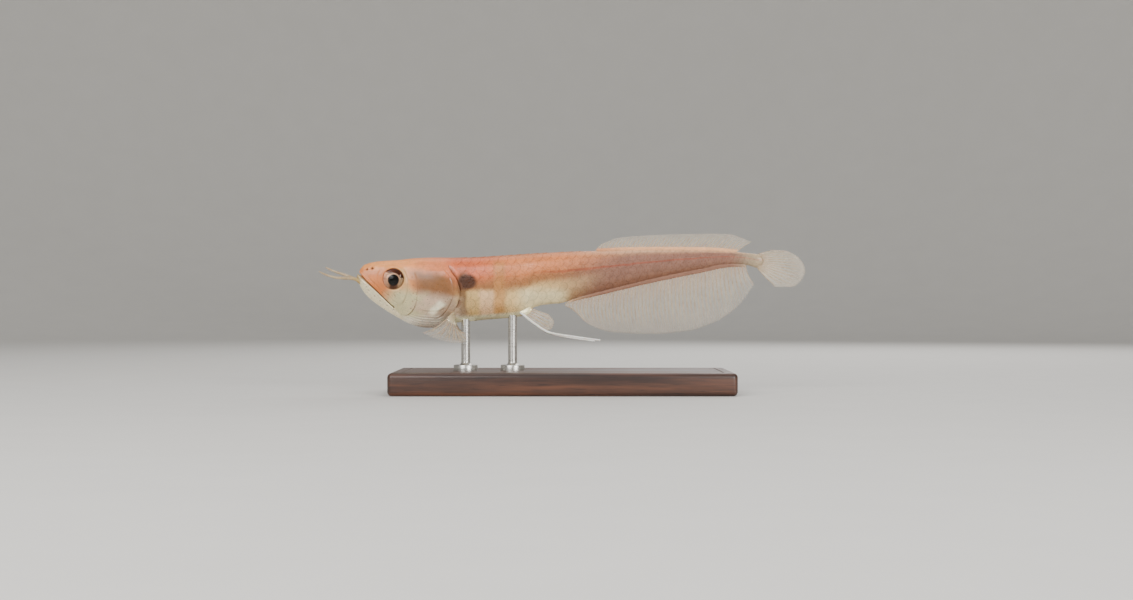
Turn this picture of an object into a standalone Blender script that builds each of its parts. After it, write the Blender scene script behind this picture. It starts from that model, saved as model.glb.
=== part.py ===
# Silver arowana: a young fish as a still, life-size model, swimming level on a plain stand.
# Sizes are in millimetres: s runs back from the snout tip, y to the fish's right, z up from the snout.
# The fish faces -X with its left side towards -Y. world() turns millimetres into metres.

import math

import bmesh
import bpy
from mathutils import Vector

MM = 0.001
GAP = 0.3

# Driving sizes of the fish
TOTAL_LENGTH = 119.6
BARBEL_REACH = 9.9
TAIL_ROOT = 106.7
VENT = 55.2

# Driving sizes of the stand
BASE_LENGTH = 90.0
BASE_WIDTH = 40.0
BASE_THICK = 6.0
BASE_CORNER = 1.2
ROD_RADIUS = 1.2
ROD_SIDES = 20
FOOT_RADIUS = 3.2
FOOT_THICK = 1.2
FOOT_FILLET = 0.8
ROD_PLACES = {"stand_rod_front": 29.0, "stand_rod_rear": 41.5}
FIN_CLEARANCE = 7.0
LOWEST_FIN = 18.4

SNOUT_LEVEL = BASE_THICK + FIN_CLEARANCE + LOWEST_FIN
MIDDLE = (TOTAL_LENGTH - BARBEL_REACH) / 2

# Outlines of head, trunk and tail, as (s, z) along the back and the belly, and as (s, half width)
BACK = ((0, -0.2), (0.5, 1.0), (1.2, 2.0), (2.2, 2.85), (5.6, 3.65), (11.5, 4.05), (15.5, 4.5), (22, 4.75),
        (30, 4.8), (38, 5.25), (51.5, 6.1), (64.8, 6.6), (78, 6.85), (91, 6.75), (100, 6.3), (108, 5.6))
BELLY = ((0, -0.6), (0.5, -2.2), (1.2, -3.6), (2.5, -5.4), (4.8, -7.4), (9.3, -10.4), (14.2, -13.0),
         (18, -14.0), (21.5, -14.1), (24, -13.2), (32.8, -12.2), (43.5, -11.2), (45.5, -10.3), (47.3, -8.7),
         (50.5, -7.95), (54.5, -7.6), (57.5, -6.6), (64.8, -4.7), (78, -1.4), (91, 1.3), (100, 2.8),
         (103.5, 2.6), (108, 1.2))
HALF_WIDTH = ((0, 0.5), (0.5, 1.2), (1.2, 1.6), (2.2, 1.95), (5.6, 2.6), (11.5, 3.25), (15.5, 3.6), (22, 4.0),
              (26, 3.95), (38, 3.85), (51.5, 3.45), (64.8, 2.9), (78, 2.25), (91, 1.55), (100, 1.1), (108, 0.7))

# Cross-section: how far down the widest level lies, and how square the upper and lower halves are
WIDEST_SHARE = ((0, 0.45), (12, 0.42), (30, 0.38), (108, 0.45))
UPPER_SQUARENESS = ((0, 2.2), (6, 2.7), (20, 2.5), (40, 2.2), (108, 2.0))
LOWER_SQUARENESS = ((0, 2.0), (6, 1.75), (20, 1.6), (60, 1.5), (108, 1.8))
AROUND = 30

# The gill covers stand proud of the trunk by this much, and end at this margin
GILL_FLARE = ((0, 0), (12, 0), (21, 0.35), (30, 0.35))
GILL_MARGIN = ((22.6, 8), (23.0, 6), (23.6, 3.5), (25.3, 0.8), (27.0, -2), (27.6, -4.5), (27.0, -7.5),
               (24.9, -10.7), (22.6, -13.2), (21.8, -16), (21.8, -20))
GILL_WIDEST = GILL_MARGIN.index((27.6, -4.5))
GILL_COVER_FRONT = ((23.3, -11.7), (21.2, -12.1), (18.6, -11.9), (16.3, -10.7), (14.95, -8.0), (15.0, -4.4),
                    (16.1, -0.8), (18.1, 1.8), (20.8, 2.8), (23.1, 2.6))
GILL_COVER_THICK = 0.9
OUTLINE_STEPS = 30

# Mouth: the edge of the upper jaw, that of the lower jaw, and where the lower jaw ends behind
UPPER_JAW_EDGE = ((-2, 1.9), (0.5, 1.0), (1.7, -0.35), (4.8, -3.35), (8.5, -6.95), (9.95, -8.3))
LOWER_JAW_EDGE = ((-2, 1.1), (0.2, 0.3), (1.5, -1.15), (4.6, -3.95), (8.3, -7.35), (9.7, -8.6))
JAW_REAR = ((10.6, -9.8), (11.3, -11.4), (12.2, -20), (-2, -20))
LIP_RADIUS = 0.34
LIP_SUNK = 0.14
LIP_OVERHANG = 0.04
LIP_STEPS = 13

EYE_PLACE = (10.0, -1.07)
EYE_RADIUS = 2.9
EYE_FROM_MIDDLE = 2.65
EYE_BULGE = 0.98
EYE_DEPTH = 1.35
NOSTRILS = ((2.9, 1.5, 0.3), (4.3, 1.75, 0.36))

# Barbels, from the tip of the lower jaw forward, as (s, y, z)
BARBEL_PATHS = {
    "barbel_left": ((1.8, -0.6, -1.35), (-1.2, -1.0, -0.95), (-4.8, -1.8, -0.8), (-7.6, -2.3, -0.1),
                    (-BARBEL_REACH, -2.6, 0.93)),
    "barbel_right": ((1.8, 0.6, -1.35), (-1.2, 1.0, -0.8), (-3.9, 1.7, 0.2), (-6.4, 2.2, 1.05),
                     (-8.8, 2.6, 2.13)),
}
BARBEL_RADIUS = 0.4
BARBEL_TIP_RADIUS = 0.17

# Fins: rays, rows of the grid along a ray, thickness of the membrane at root and edge, and ridges on it
MEMBRANE = 0.52
MEMBRANE_EDGE = 0.3
RAY_RIDGE = 0.24
NOTCH = 0.045

DORSAL_BASE = (64.0, 101.6)
DORSAL_RAYS = 42
DORSAL_ROWS = 3
DORSAL_HEIGHT = ((0, 1.5), (0.1, 2.9), (0.3, 3.5), (0.6, 3.9), (0.85, 4.1), (1, 2.4))
DORSAL_SWEEP = ((0, 1.4), (0.5, 2.6), (1, 3.6))

ANAL_BASE = (56.0, 103.6)
ANAL_RAYS = 50
ANAL_ROWS = 4
ANAL_EDGE = ((0, 57.6, -8.9), (0.1, 62.2, -13.4), (0.25, 69, -15.5), (0.45, 78.5, -15.9), (0.65, 88, -15.1),
             (0.8, 95.6, -12.7), (0.92, 102, -8.2), (1, 106, -2.6))

CAUDAL_BASE = ((107.0, 5.45), (107.0, 1.7))
CAUDAL_RAYS = 15
CAUDAL_ROWS = 6
CAUDAL_EDGE = ((0, 110.8, 6.7), (0.12, 114.2, 6.5), (0.3, 117.5, 4.9), (0.46, 119.2, 2.7), (0.58, TOTAL_LENGTH, 0.9),
               (0.74, 118.5, -1.5), (0.88, 116, -3.2), (1, 111.6, -3.3))

WAVE_HEIGHT = 0.55
WAVE_LENGTH = 31.0

# Paired fins on the left, as (share, s, y, z) along root and outer edge
PECTORAL_RAYS = 7
PECTORAL_ROWS = 6
PECTORAL_ROOT = ((0, 26.2, -1.5, -9.7), (1, 25.3, -0.7, -11.9))
PECTORAL_EDGE = ((0, 18.6, -15.4, -15.2), (0.17, 21.8, -14.9, -16.6), (0.34, 24.6, -13.3, -17.5),
                 (0.5, 26.8, -11.4, -17.9), (0.67, 28.6, -9.3, -17.8), (0.84, 29.6, -7.2, -17.0), (1, 29.2, -5.2, -15.4))
PELVIC_RAYS = 5
PELVIC_ROWS = 5
PELVIC_ROOT = ((0, 43.6, -0.9, -9.9), (1, 45.6, -0.9, -8.7))
PELVIC_EDGE = ((0, 50.6, -3.0, -14.9), (0.35, 52.2, -3.2, -14.1), (0.7, 52.6, -2.9, -12.4),
               (1, 51.2, -2.3, -10.6))
FILAMENT_PATHS = {
    "pelvic_fin_left": ((43.6, -0.9, -9.9), (47.5, -2.3, -13.0), (51.7, -3.2, -15.4), (58.1, -3.9, -16.4),
                        (64.8, -4.2, -17.3)),
    "pelvic_fin_right": ((43.6, 0.9, -9.9), (47.3, 2.2, -13.0), (51.2, 3.1, -15.5), (57.6, 3.7, -16.9),
                         (63.5, 4.0, -17.7)),
}
FILAMENT_RADIUS = 0.33
FILAMENT_TIP_RADIUS = 0.18

# Colour, roughness and metallic of each node's material
FINISHES = {
    "head": ((0.62, 0.43, 0.34), 0.35, 0.1),
    "jaw_lower": ((0.74, 0.66, 0.60), 0.35, 0.1),
    "gill_cover": ((0.70, 0.68, 0.62), 0.25, 0.4),
    "trunk": ((0.72, 0.53, 0.42), 0.35, 0.1),
    "tail": ((0.62, 0.48, 0.40), 0.35, 0.1),
    "eye": ((0.10, 0.05, 0.02), 0.1, 0.0),
    "barbel": ((0.62, 0.55, 0.45), 0.5, 0.0),
    "pectoral_fin": ((0.70, 0.68, 0.62), 0.4, 0.0),
    "pelvic_fin": ((0.86, 0.86, 0.84), 0.4, 0.0),
    "dorsal_fin": ((0.68, 0.62, 0.56), 0.4, 0.0),
    "anal_fin": ((0.68, 0.64, 0.58), 0.4, 0.0),
    "caudal_fin": ((0.66, 0.62, 0.56), 0.4, 0.0),
    "stand_base": ((0.10, 0.08, 0.07), 0.5, 0.0),
    "stand_rod": ((0.62, 0.60, 0.57), 0.3, 1.0),
}


def world(s, y, z):
    return Vector(((s - MIDDLE) * MM, y * MM, (z + SNOUT_LEVEL) * MM))


# Smooth value read from a line of (place, value) pairs, without overshoot between them
def read_line(line, place):
    place = min(max(place, line[0][0]), line[-1][0])
    steps = [(b[1] - a[1]) / (b[0] - a[0]) for a, b in zip(line, line[1:])]
    inner = [2 * p * q / (p + q) if p * q > 0 else 0.0 for p, q in zip(steps, steps[1:])]
    slopes = [steps[0], *inner, steps[-1]]
    i = next(k for k in range(len(steps)) if place <= line[k + 1][0])
    span = line[i + 1][0] - line[i][0]
    t = (place - line[i][0]) / span
    bend = (slopes[i] + slopes[i + 1] - 2 * steps[i]) * span
    lean = (3 * steps[i] - 2 * slopes[i] - slopes[i + 1]) * span
    return line[i][1] + t * (slopes[i] * span + t * (lean + t * bend))


# Point on a smooth curve through (share, s, ...) points
def read_curve(curve, share):
    axes = range(1, len(curve[0]))
    return tuple(read_line([(p[0], p[axis]) for p in curve], share) for axis in axes)


# Points spread evenly along a smooth path through a few chosen points
def smooth_path(points, steps):
    lengths = [0.0]
    for a, b in zip(points, points[1:]):
        lengths.append(lengths[-1] + math.dist(a, b))
    curve = [(length, *point) for length, point in zip(lengths, points)]
    return [read_curve(curve, lengths[-1] * i / steps) for i in range(steps + 1)]


# Line in the side view moved sideways, to the left of its direction when the distance is positive
def shifted(line, distance):
    moved = []
    for i, (s, z) in enumerate(line):
        before = Vector(line[max(i - 1, 0)])
        after = Vector(line[min(i + 1, len(line) - 1)])
        along = (after - before).normalized()
        moved.append((s - along.y * distance, z + along.x * distance))
    return moved


class Section:
    # Cross-section of the body at s, made larger all round by grow, with the gill flare if flared
    def __init__(self, s, grow=0.0, flared=False):
        top = read_line(BACK, s) + grow
        bottom = read_line(BELLY, s) - grow
        self.width = max(read_line(HALF_WIDTH, s) + grow, 0.05)
        if flared:
            self.width += read_line(GILL_FLARE, s)
        self.level = top - read_line(WIDEST_SHARE, s) * (top - bottom)
        self.rise = top - self.level
        self.drop = self.level - bottom
        self.upper = read_line(UPPER_SQUARENESS, s)
        self.lower = read_line(LOWER_SQUARENESS, s)

    # Point at an angle from straight up, as (y, z)
    def point(self, angle):
        high = math.cos(angle) >= 0
        power = 2 / (self.upper if high else self.lower)
        reach = self.rise if high else self.drop
        y = self.width * math.copysign(abs(math.sin(angle)) ** power, math.sin(angle))
        z = self.level + reach * math.copysign(abs(math.cos(angle)) ** power, math.cos(angle))
        return y, z

    # Half breadth of the body at height z
    def half_breadth(self, z):
        power = self.upper if z >= self.level else self.lower
        reach = self.rise if z >= self.level else self.drop
        share = min(abs(z - self.level) / reach, 1.0)
        return self.width * (1 - share ** power) ** (1 / power)


def new_object(name, mesh, collection):
    obj = bpy.data.objects.new(name, mesh)
    collection.objects.link(obj)
    return obj


# Turns a closed bmesh's faces outward and writes it to a mesh
def write_outward(bm, mesh):
    bm.normal_update()
    bmesh.ops.recalc_face_normals(bm, faces=bm.faces)
    bm.to_mesh(mesh)
    bm.free()


def as_guide(obj):
    obj.hide_render = True
    obj.display_type = "WIRE"
    return obj


# Body form: a loft through unlike cross-sections, closed by a fan at each end
def loft(name, stations, collection, grow=0.0, flared=False):
    mesh = bpy.data.meshes.new(name)
    bm = bmesh.new()
    rings = []
    for s in stations:
        section = Section(s, grow, flared)
        angles = [2 * math.pi * k / AROUND for k in range(AROUND)]
        rings.append([bm.verts.new(world(s, *section.point(angle))) for angle in angles])
    for front, rear in zip(rings, rings[1:]):
        for k in range(AROUND):
            j = (k + 1) % AROUND
            bm.faces.new((front[k], front[j], rear[j], rear[k]))
    for ring in (rings[0], rings[-1]):
        hub = bm.verts.new(sum((v.co for v in ring), Vector()) / AROUND)
        for k in range(AROUND):
            bm.faces.new((ring[k], ring[(k + 1) % AROUND], hub))
    write_outward(bm, mesh)
    return new_object(name, mesh, collection)


# Stations of the head, set closer towards the snout, and those of trunk and tail, evenly spaced
def head_stations(end, count):
    return [end * (i / count) ** 1.55 for i in range(count + 1)]


def even_stations(start, end, step):
    count = round((end - start) / step)
    return [start + (end - start) * i / count for i in range(count + 1)]


# Curve object made a closed mesh, with its caps welded
def curve_to_mesh(curve_obj, collection):
    depsgraph = bpy.context.evaluated_depsgraph_get()
    mesh = bpy.data.meshes.new_from_object(curve_obj.evaluated_get(depsgraph))
    bm = bmesh.new()
    bm.from_mesh(mesh)
    bmesh.ops.remove_doubles(bm, verts=bm.verts, dist=1e-6)
    write_outward(bm, mesh)
    name = curve_obj.name
    place = curve_obj.matrix_world.copy()
    bpy.data.objects.remove(curve_obj)
    obj = new_object(name, mesh, collection)
    obj.matrix_world = place
    return obj


# Plate with a side-view outline, reaching across the body from y_low to y_high
def side_prism(name, outline, y_low, y_high, collection):
    curve = bpy.data.curves.new(name, "CURVE")
    curve.dimensions = "2D"
    curve.fill_mode = "BOTH"
    curve.extrude = (y_high - y_low) / 2 * MM
    spline = curve.splines.new("POLY")
    spline.points.add(len(outline) - 1)
    for point, (s, z) in zip(spline.points, outline):
        point.co = ((s - MIDDLE) * MM, (z + SNOUT_LEVEL) * MM, 0, 1)
    spline.use_cyclic_u = True
    obj = new_object(name, curve, collection)
    obj.rotation_euler = (math.pi / 2, 0, 0)
    obj.location = (0, (y_low + y_high) / 2 * MM, 0)
    bpy.context.view_layer.update()
    return as_guide(curve_to_mesh(obj, collection))


# Tapered tube through points, with closed ends
def tube(name, points, radius, tip_radius, collection, blunt=0.0):
    curve = bpy.data.curves.new(name, "CURVE")
    curve.dimensions = "3D"
    curve.bevel_depth = radius * MM
    curve.bevel_resolution = 2
    curve.use_fill_caps = True
    spline = curve.splines.new("POLY")
    spline.points.add(len(points) - 1)
    last = len(points) - 1
    for i, (point, place) in enumerate(zip(spline.points, points)):
        point.co = (*world(*place), 1)
        share = max(i / last - blunt, 0) / (1 - blunt)
        point.radius = 1 - (1 - tip_radius / radius) * share
    obj = new_object(name, curve, collection)
    return curve_to_mesh(obj, collection)


def cut(obj, operation, other, solver="EXACT"):
    boolean = obj.modifiers.new(operation.title(), "BOOLEAN")
    boolean.operation = operation
    boolean.object = other
    boolean.solver = solver


def apply_modifiers(obj):
    depsgraph = bpy.context.evaluated_depsgraph_get()
    made = bpy.data.meshes.new_from_object(obj.evaluated_get(depsgraph))
    obj.modifiers.clear()
    obj.data = made


# Only the largest closed surface of a mesh stays
def keep_largest(obj):
    bm = bmesh.new()
    bm.from_mesh(obj.data)
    unseen = set(bm.verts)
    shells = []
    while unseen:
        shell = {unseen.pop()}
        edge = list(shell)
        while edge:
            near = {e.other_vert(v) for v in edge for e in v.link_edges}
            edge = list(near - shell)
            shell.update(edge)
        unseen -= shell
        shells.append(shell)
    largest = max(shells, key=lambda verts: size_of(verts))
    loose = [v for v in bm.verts if v not in largest]
    bmesh.ops.delete(bm, geom=loose, context="VERTS")
    bm.to_mesh(obj.data)
    bm.free()


# Length of the diagonal of the box round some vertices
def size_of(verts):
    low = Vector([min(v.co[axis] for v in verts) for axis in range(3)])
    high = Vector([max(v.co[axis] for v in verts) for axis in range(3)])
    return (high - low).length


# Joins closed pieces to an object by one union, and removes them
def fuse(obj, pieces):
    group = bpy.data.collections.new(obj.name + "_pieces")
    for piece in pieces:
        group.objects.link(piece)
    boolean = obj.modifiers.new("Union", "BOOLEAN")
    boolean.operation = "UNION"
    boolean.operand_type = "COLLECTION"
    boolean.collection = group
    boolean.solver = "EXACT"
    apply_modifiers(obj)
    for piece in pieces:
        bpy.data.objects.remove(piece)
    bpy.data.collections.remove(group)


# Fin: a membrane with a ridge over each ray on both faces, split into the same triangles on both
# place(share, out) gives a point, share running along the root and out from root to edge
def fin(name, place, rays, rows, collection):
    columns = 2 * rays - 1
    mesh = bpy.data.meshes.new(name)
    bm = bmesh.new()
    faces = {1: [], -1: []}
    for column in range(columns):
        share = column / (columns - 1)
        on_ray = column % 2 == 0
        full = 1.0 if on_ray else 1 - NOTCH
        lines = {1: [], -1: []}
        for row in range(rows + 1):
            out = row / rows * full
            middle = place(share, out)
            across = fin_normal(place, share, out)
            thick = MEMBRANE + (MEMBRANE_EDGE - MEMBRANE) * out ** 2
            if on_ray:
                thick += RAY_RIDGE * (1 - 0.6 * out)
            for side in (1, -1):
                lines[side].append(bm.verts.new(world(*(middle + across * side * thick / 2))))
        for side in (1, -1):
            faces[side].append(lines[side])
    for side in (1, -1):
        for a, b in zip(faces[side], faces[side][1:]):
            for row in range(rows):
                strip_quad(bm, a[row], b[row], b[row + 1], a[row + 1])
    for rim in fin_rims(faces, columns, rows):
        for (a, b), (c, d) in zip(rim, rim[1:]):
            strip_quad(bm, a, c, d, b)
    write_outward(bm, mesh)
    return new_object(name, mesh, collection)


def strip_quad(bm, a, b, c, d):
    bm.faces.new((a, b, c))
    bm.faces.new((a, c, d))


# The four edges of a fin, each as pairs of vertices on its two faces
def fin_rims(faces, columns, rows):
    first, last = 0, columns - 1
    yield [(faces[1][c][0], faces[-1][c][0]) for c in range(columns)]
    yield [(faces[1][c][rows], faces[-1][c][rows]) for c in range(columns)]
    yield [(faces[1][first][r], faces[-1][first][r]) for r in range(rows + 1)]
    yield [(faces[1][last][r], faces[-1][last][r]) for r in range(rows + 1)]


def fin_normal(place, share, out):
    small = 0.01
    low, high = max(share - small, 0), min(share + small, 1)
    along = place(high, out) - place(low, out)
    outward = place(share, min(out + small, 1)) - place(share, max(out - small, 0))
    return along.cross(outward).normalized()


# Sideways ripple of a fin in the fish's middle plane, growing towards its edge
def ripple(s, out):
    return WAVE_HEIGHT * math.sin(2 * math.pi * s / WAVE_LENGTH) * out ** 1.4


def dorsal_place(share, out):
    s = DORSAL_BASE[0] + (DORSAL_BASE[1] - DORSAL_BASE[0]) * share
    z = read_line(BACK, s) + GAP
    lean = read_line(DORSAL_SWEEP, share) * out ** 1.2
    return Vector((s + lean, ripple(s, out) * 0.4, z + read_line(DORSAL_HEIGHT, share) * out))


def anal_place(share, out):
    s = ANAL_BASE[0] + (ANAL_BASE[1] - ANAL_BASE[0]) * share
    z = read_line(BELLY, s) - GAP
    edge_s, edge_z = read_curve(ANAL_EDGE, share)
    bow = 1.1 * math.sin(math.pi * out) * (1 - 0.6 * share)
    return Vector((s + (edge_s - s) * out - bow, ripple(s, out), z + (edge_z - z) * out))


def caudal_place(share, out):
    (top_s, top_z), (low_s, low_z) = CAUDAL_BASE
    edge_s, edge_z = read_curve(CAUDAL_EDGE, share)
    s = top_s + (low_s - top_s) * share
    z = top_z + (low_z - top_z) * share
    return Vector((s + (edge_s - s) * out, ripple(s + 9 * out, out) * 0.8, z + (edge_z - z) * out ** 0.92))


def paired_place(root, edge, side, belly):
    def place(share, out):
        start = Vector(read_curve(root, share))
        end = Vector(read_curve(edge, share))
        point = start.lerp(end, out)
        point.z -= belly * math.sin(math.pi * out)
        point.y *= -side
        return point
    return place


# Path of a lip round the front of the face, from one mouth corner to the other
def lip_path(edge):
    line = [(s, z) for s, z in edge if s > -1]
    end = line[-1][0]
    start = next(s for s in even_stations(0.02, end, 0.02) if lip_breadth(line, s) > 0.02)
    half = []
    for i in range(LIP_STEPS * 2 + 1):
        s = start + (end - start) * (i / LIP_STEPS / 2) ** 2
        half.append((s, lip_breadth(line, s), read_line(line, s)))
    whole = [(s, -y, z) for s, y, z in reversed(half)] + half
    return smooth_path(whole, LIP_STEPS * 2)


def lip_breadth(line, s):
    return Section(s, -LIP_SUNK, flared=True).half_breadth(read_line(line, s))


def eye_ball(name, side, grow, collection):
    mesh = bpy.data.meshes.new(name)
    bm = bmesh.new()
    bmesh.ops.create_uvsphere(bm, u_segments=24, v_segments=12, radius=1)
    for vert in bm.verts:
        out = vert.co.z
        depth = (EYE_BULGE if out > 0 else EYE_DEPTH) + grow
        radius = EYE_RADIUS + grow
        place = (EYE_PLACE[0] + vert.co.x * radius, side * (EYE_FROM_MIDDLE + out * depth),
                 EYE_PLACE[1] + vert.co.y * radius)
        vert.co = world(*place)
    write_outward(bm, mesh)
    return new_object(name, mesh, collection)


def nostril(name, side, place, collection):
    s, z, radius = place
    y = side * Section(s).half_breadth(z)
    bpy.ops.mesh.primitive_ico_sphere_add(subdivisions=2, radius=radius * MM, location=world(s, y, z))
    return adopt(bpy.context.object, name, collection)


# Takes an object made by an operator into a collection, under a name
def adopt(obj, name, collection):
    obj.name = name
    for other in list(obj.users_collection):
        other.objects.unlink(obj)
    collection.objects.link(obj)
    return obj


def make_head_and_jaw(parts, guides):
    front = shifted(smooth_path(GILL_MARGIN, OUTLINE_STEPS), -GAP / 2)
    head_side = side_prism("guide_head", [(-2, 12), *front, (-2, -20)], -12, 12, guides)
    upper_edge = smooth_path(UPPER_JAW_EDGE, LIP_STEPS)
    lower_edge = smooth_path(LOWER_JAW_EDGE, LIP_STEPS)
    jaw_side = side_prism("guide_jaw", [*lower_edge, *JAW_REAR], -12, 12, guides)
    behind_jaw = [(s + GAP, z) for s, z in JAW_REAR[:-1]]
    mouth_side = side_prism("guide_mouth", [*upper_edge, *behind_jaw, JAW_REAR[-1]], -12, 12, guides)

    head = loft("head", head_stations(29, 27), parts, flared=True)
    cut(head, "INTERSECT", head_side)
    cut(head, "DIFFERENCE", mouth_side)
    upper_line = shifted(upper_edge, LIP_RADIUS - LIP_OVERHANG)
    upper_lip = tube("lip_upper", lip_path(upper_line), LIP_RADIUS, LIP_RADIUS, guides)
    fuse(head, [upper_lip])

    jaw = loft("jaw_lower", head_stations(16, 20), parts, flared=True)
    cut(jaw, "INTERSECT", jaw_side)
    lower_line = shifted(lower_edge, LIP_OVERHANG - LIP_RADIUS)
    lower_lip = tube("lip_lower", lip_path(lower_line), LIP_RADIUS, LIP_RADIUS, guides)
    fuse(jaw, [lower_lip])
    return head, jaw


# Outline of a gill cover: the rearmost stretch of the gill margin, closed by a rounded front
def gill_cover_outline(grow):
    lower = GILL_MARGIN[GILL_WIDEST:GILL_WIDEST + 3]
    upper = GILL_MARGIN[GILL_WIDEST - 2:GILL_WIDEST + 1]
    ring = smooth_path([*lower, *GILL_COVER_FRONT, *upper], OUTLINE_STEPS)
    return shifted(ring, grow - GAP / 2)[:-1]


def make_gill_covers(parts, guides, head):
    stations = even_stations(12, 30, 1.2)
    inner = as_guide(loft("guide_under_cover", stations, guides, -GILL_COVER_THICK, True))
    core = as_guide(loft("guide_head_core", stations, guides, -GILL_COVER_THICK - GAP, True))
    for name, low, high in (("gill_cover_left", -12, -0.2), ("gill_cover_right", 0.2, 12)):
        cover = loft(name, head_stations(29, 27), parts, flared=True)
        cut(cover, "INTERSECT", side_prism("guide_" + name, gill_cover_outline(0), low, high, guides))
        cut(cover, "DIFFERENCE", inner)
        apply_modifiers(cover)
        keep_largest(cover)
    recess = side_prism("guide_recess", gill_cover_outline(GAP), -12, 12, guides)
    cut(recess, "DIFFERENCE", core)
    apply_modifiers(recess)
    cut(head, "DIFFERENCE", recess)


def make_eyes_and_nostrils(parts, guides, head):
    for name, side in (("left", -1), ("right", 1)):
        eye_ball("eye_" + name, side, 0, parts)
        cut(head, "DIFFERENCE", as_guide(eye_ball("guide_socket_" + name, side, GAP, guides)))
        for i, place in enumerate(NOSTRILS):
            pit = nostril(f"guide_nostril_{name}_{i + 1}", side, place, guides)
            cut(head, "DIFFERENCE", as_guide(pit))
    apply_modifiers(head)
    keep_largest(head)


def make_trunk_and_tail(parts, guides):
    rear = list(reversed(shifted(smooth_path(GILL_MARGIN, OUTLINE_STEPS), GAP / 2)))
    trunk_end = VENT - GAP / 2
    trunk_side = side_prism("guide_trunk", [*rear, (trunk_end, 12), (trunk_end, -20)], -12, 12, guides)
    trunk = loft("trunk", even_stations(20, VENT + 1.6, 1.6), parts)
    cut(trunk, "INTERSECT", trunk_side)
    apply_modifiers(trunk)
    keep_largest(trunk)
    loft("tail", even_stations(VENT + GAP / 2, TAIL_ROOT, 1.7), parts)


def make_unpaired_fins(parts):
    fin("dorsal_fin", dorsal_place, DORSAL_RAYS, DORSAL_ROWS, parts)
    fin("anal_fin", anal_place, ANAL_RAYS, ANAL_ROWS, parts)
    fin("caudal_fin", caudal_place, CAUDAL_RAYS, CAUDAL_ROWS, parts)


def make_paired_fins(parts, guides, near_body):
    for name, side in (("left", 1), ("right", -1)):
        place = paired_place(PECTORAL_ROOT, PECTORAL_EDGE, -side, 0.9)
        pectoral = fin("pectoral_fin_" + name, place, PECTORAL_RAYS, PECTORAL_ROWS, parts)
        trim_root(pectoral, near_body)
        place = paired_place(PELVIC_ROOT, PELVIC_EDGE, -side, 0.0)
        pelvic = fin("pelvic_fin_" + name, place, PELVIC_RAYS, PELVIC_ROWS, parts)
        path = smooth_path(FILAMENT_PATHS[pelvic.name], 15)
        filament = tube("filament_" + name, path, FILAMENT_RADIUS, FILAMENT_TIP_RADIUS, guides)
        fuse(pelvic, [filament])
        trim_root(pelvic, near_body)


# Ends a piece that starts inside the body at the gap from the body's surface
def trim_root(obj, near_body):
    cut(obj, "DIFFERENCE", near_body)
    apply_modifiers(obj)
    keep_largest(obj)


def make_barbels(parts, guides):
    lip_stand = LIP_RADIUS - LIP_SUNK
    near_head = as_guide(loft("guide_near_head", head_stations(16, 20), guides, GAP + lip_stand))
    for name, points in BARBEL_PATHS.items():
        barbel = tube(name, smooth_path(points, 11), BARBEL_RADIUS, BARBEL_TIP_RADIUS, parts)
        trim_root(barbel, near_head)


def make_stand(parts, near_body):
    bpy.ops.mesh.primitive_cube_add(size=1, location=(0, 0, BASE_THICK / 2 * MM))
    base = adopt(bpy.context.object, "stand_base", parts)
    base.scale = (BASE_LENGTH * MM, BASE_WIDTH * MM, BASE_THICK * MM)
    bpy.ops.object.transform_apply(location=True, rotation=False, scale=True)
    bevel = base.modifiers.new("Rounded edges", "BEVEL")
    bevel.width = BASE_CORNER * MM
    bevel.segments = 3
    for name, s in ROD_PLACES.items():
        make_rod(name, s, parts, near_body)


# Turned rod with a foot, its top cut to the belly that it carries
def make_rod(name, s, parts, near_body):
    foot = BASE_THICK + GAP
    shoulder = foot + FOOT_THICK
    top = SNOUT_LEVEL + read_line(BELLY, s) + 2.5
    profile = [(0, top), (ROD_RADIUS, top), (ROD_RADIUS, shoulder + FOOT_FILLET)]
    for i in range(1, 4):
        angle = math.pi / 2 * i / 4
        profile.append((ROD_RADIUS + FOOT_FILLET * (1 - math.cos(angle)),
                        shoulder + FOOT_FILLET * (1 - math.sin(angle))))
    profile += [(ROD_RADIUS + FOOT_FILLET, shoulder), (FOOT_RADIUS, shoulder), (FOOT_RADIUS, foot), (0, foot)]
    mesh = bpy.data.meshes.new(name)
    bm = bmesh.new()
    verts = [bm.verts.new((x * MM, 0, z * MM)) for x, z in profile]
    for a, b in zip(verts, verts[1:]):
        bm.edges.new((a, b))
    bm.to_mesh(mesh)
    bm.free()
    rod = new_object(name, mesh, parts)
    rod.location = ((s - MIDDLE) * MM, 0, 0)
    screw = rod.modifiers.new("Turned", "SCREW")
    screw.steps = ROD_SIDES
    screw.render_steps = ROD_SIDES
    screw.use_merge_vertices = True
    screw.merge_threshold = 1e-6
    cut(rod, "DIFFERENCE", near_body)
    apply_modifiers(rod)
    keep_largest(rod)


def paint(parts):
    for obj in parts.objects:
        key = next(k for k in FINISHES if obj.name.startswith(k))
        colour, roughness, metallic = FINISHES[key]
        material = bpy.data.materials.new(obj.name)
        material.use_nodes = True
        shader = material.node_tree.nodes["Principled BSDF"]
        shader.inputs["Base Color"].default_value = (*colour, 1)
        shader.inputs["Roughness"].default_value = roughness
        shader.inputs["Metallic"].default_value = metallic
        obj.data.materials.clear()
        obj.data.materials.append(material)
        obj.data.shade_smooth()
        obj.data.set_sharp_from_angle(angle=math.radians(35))


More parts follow.
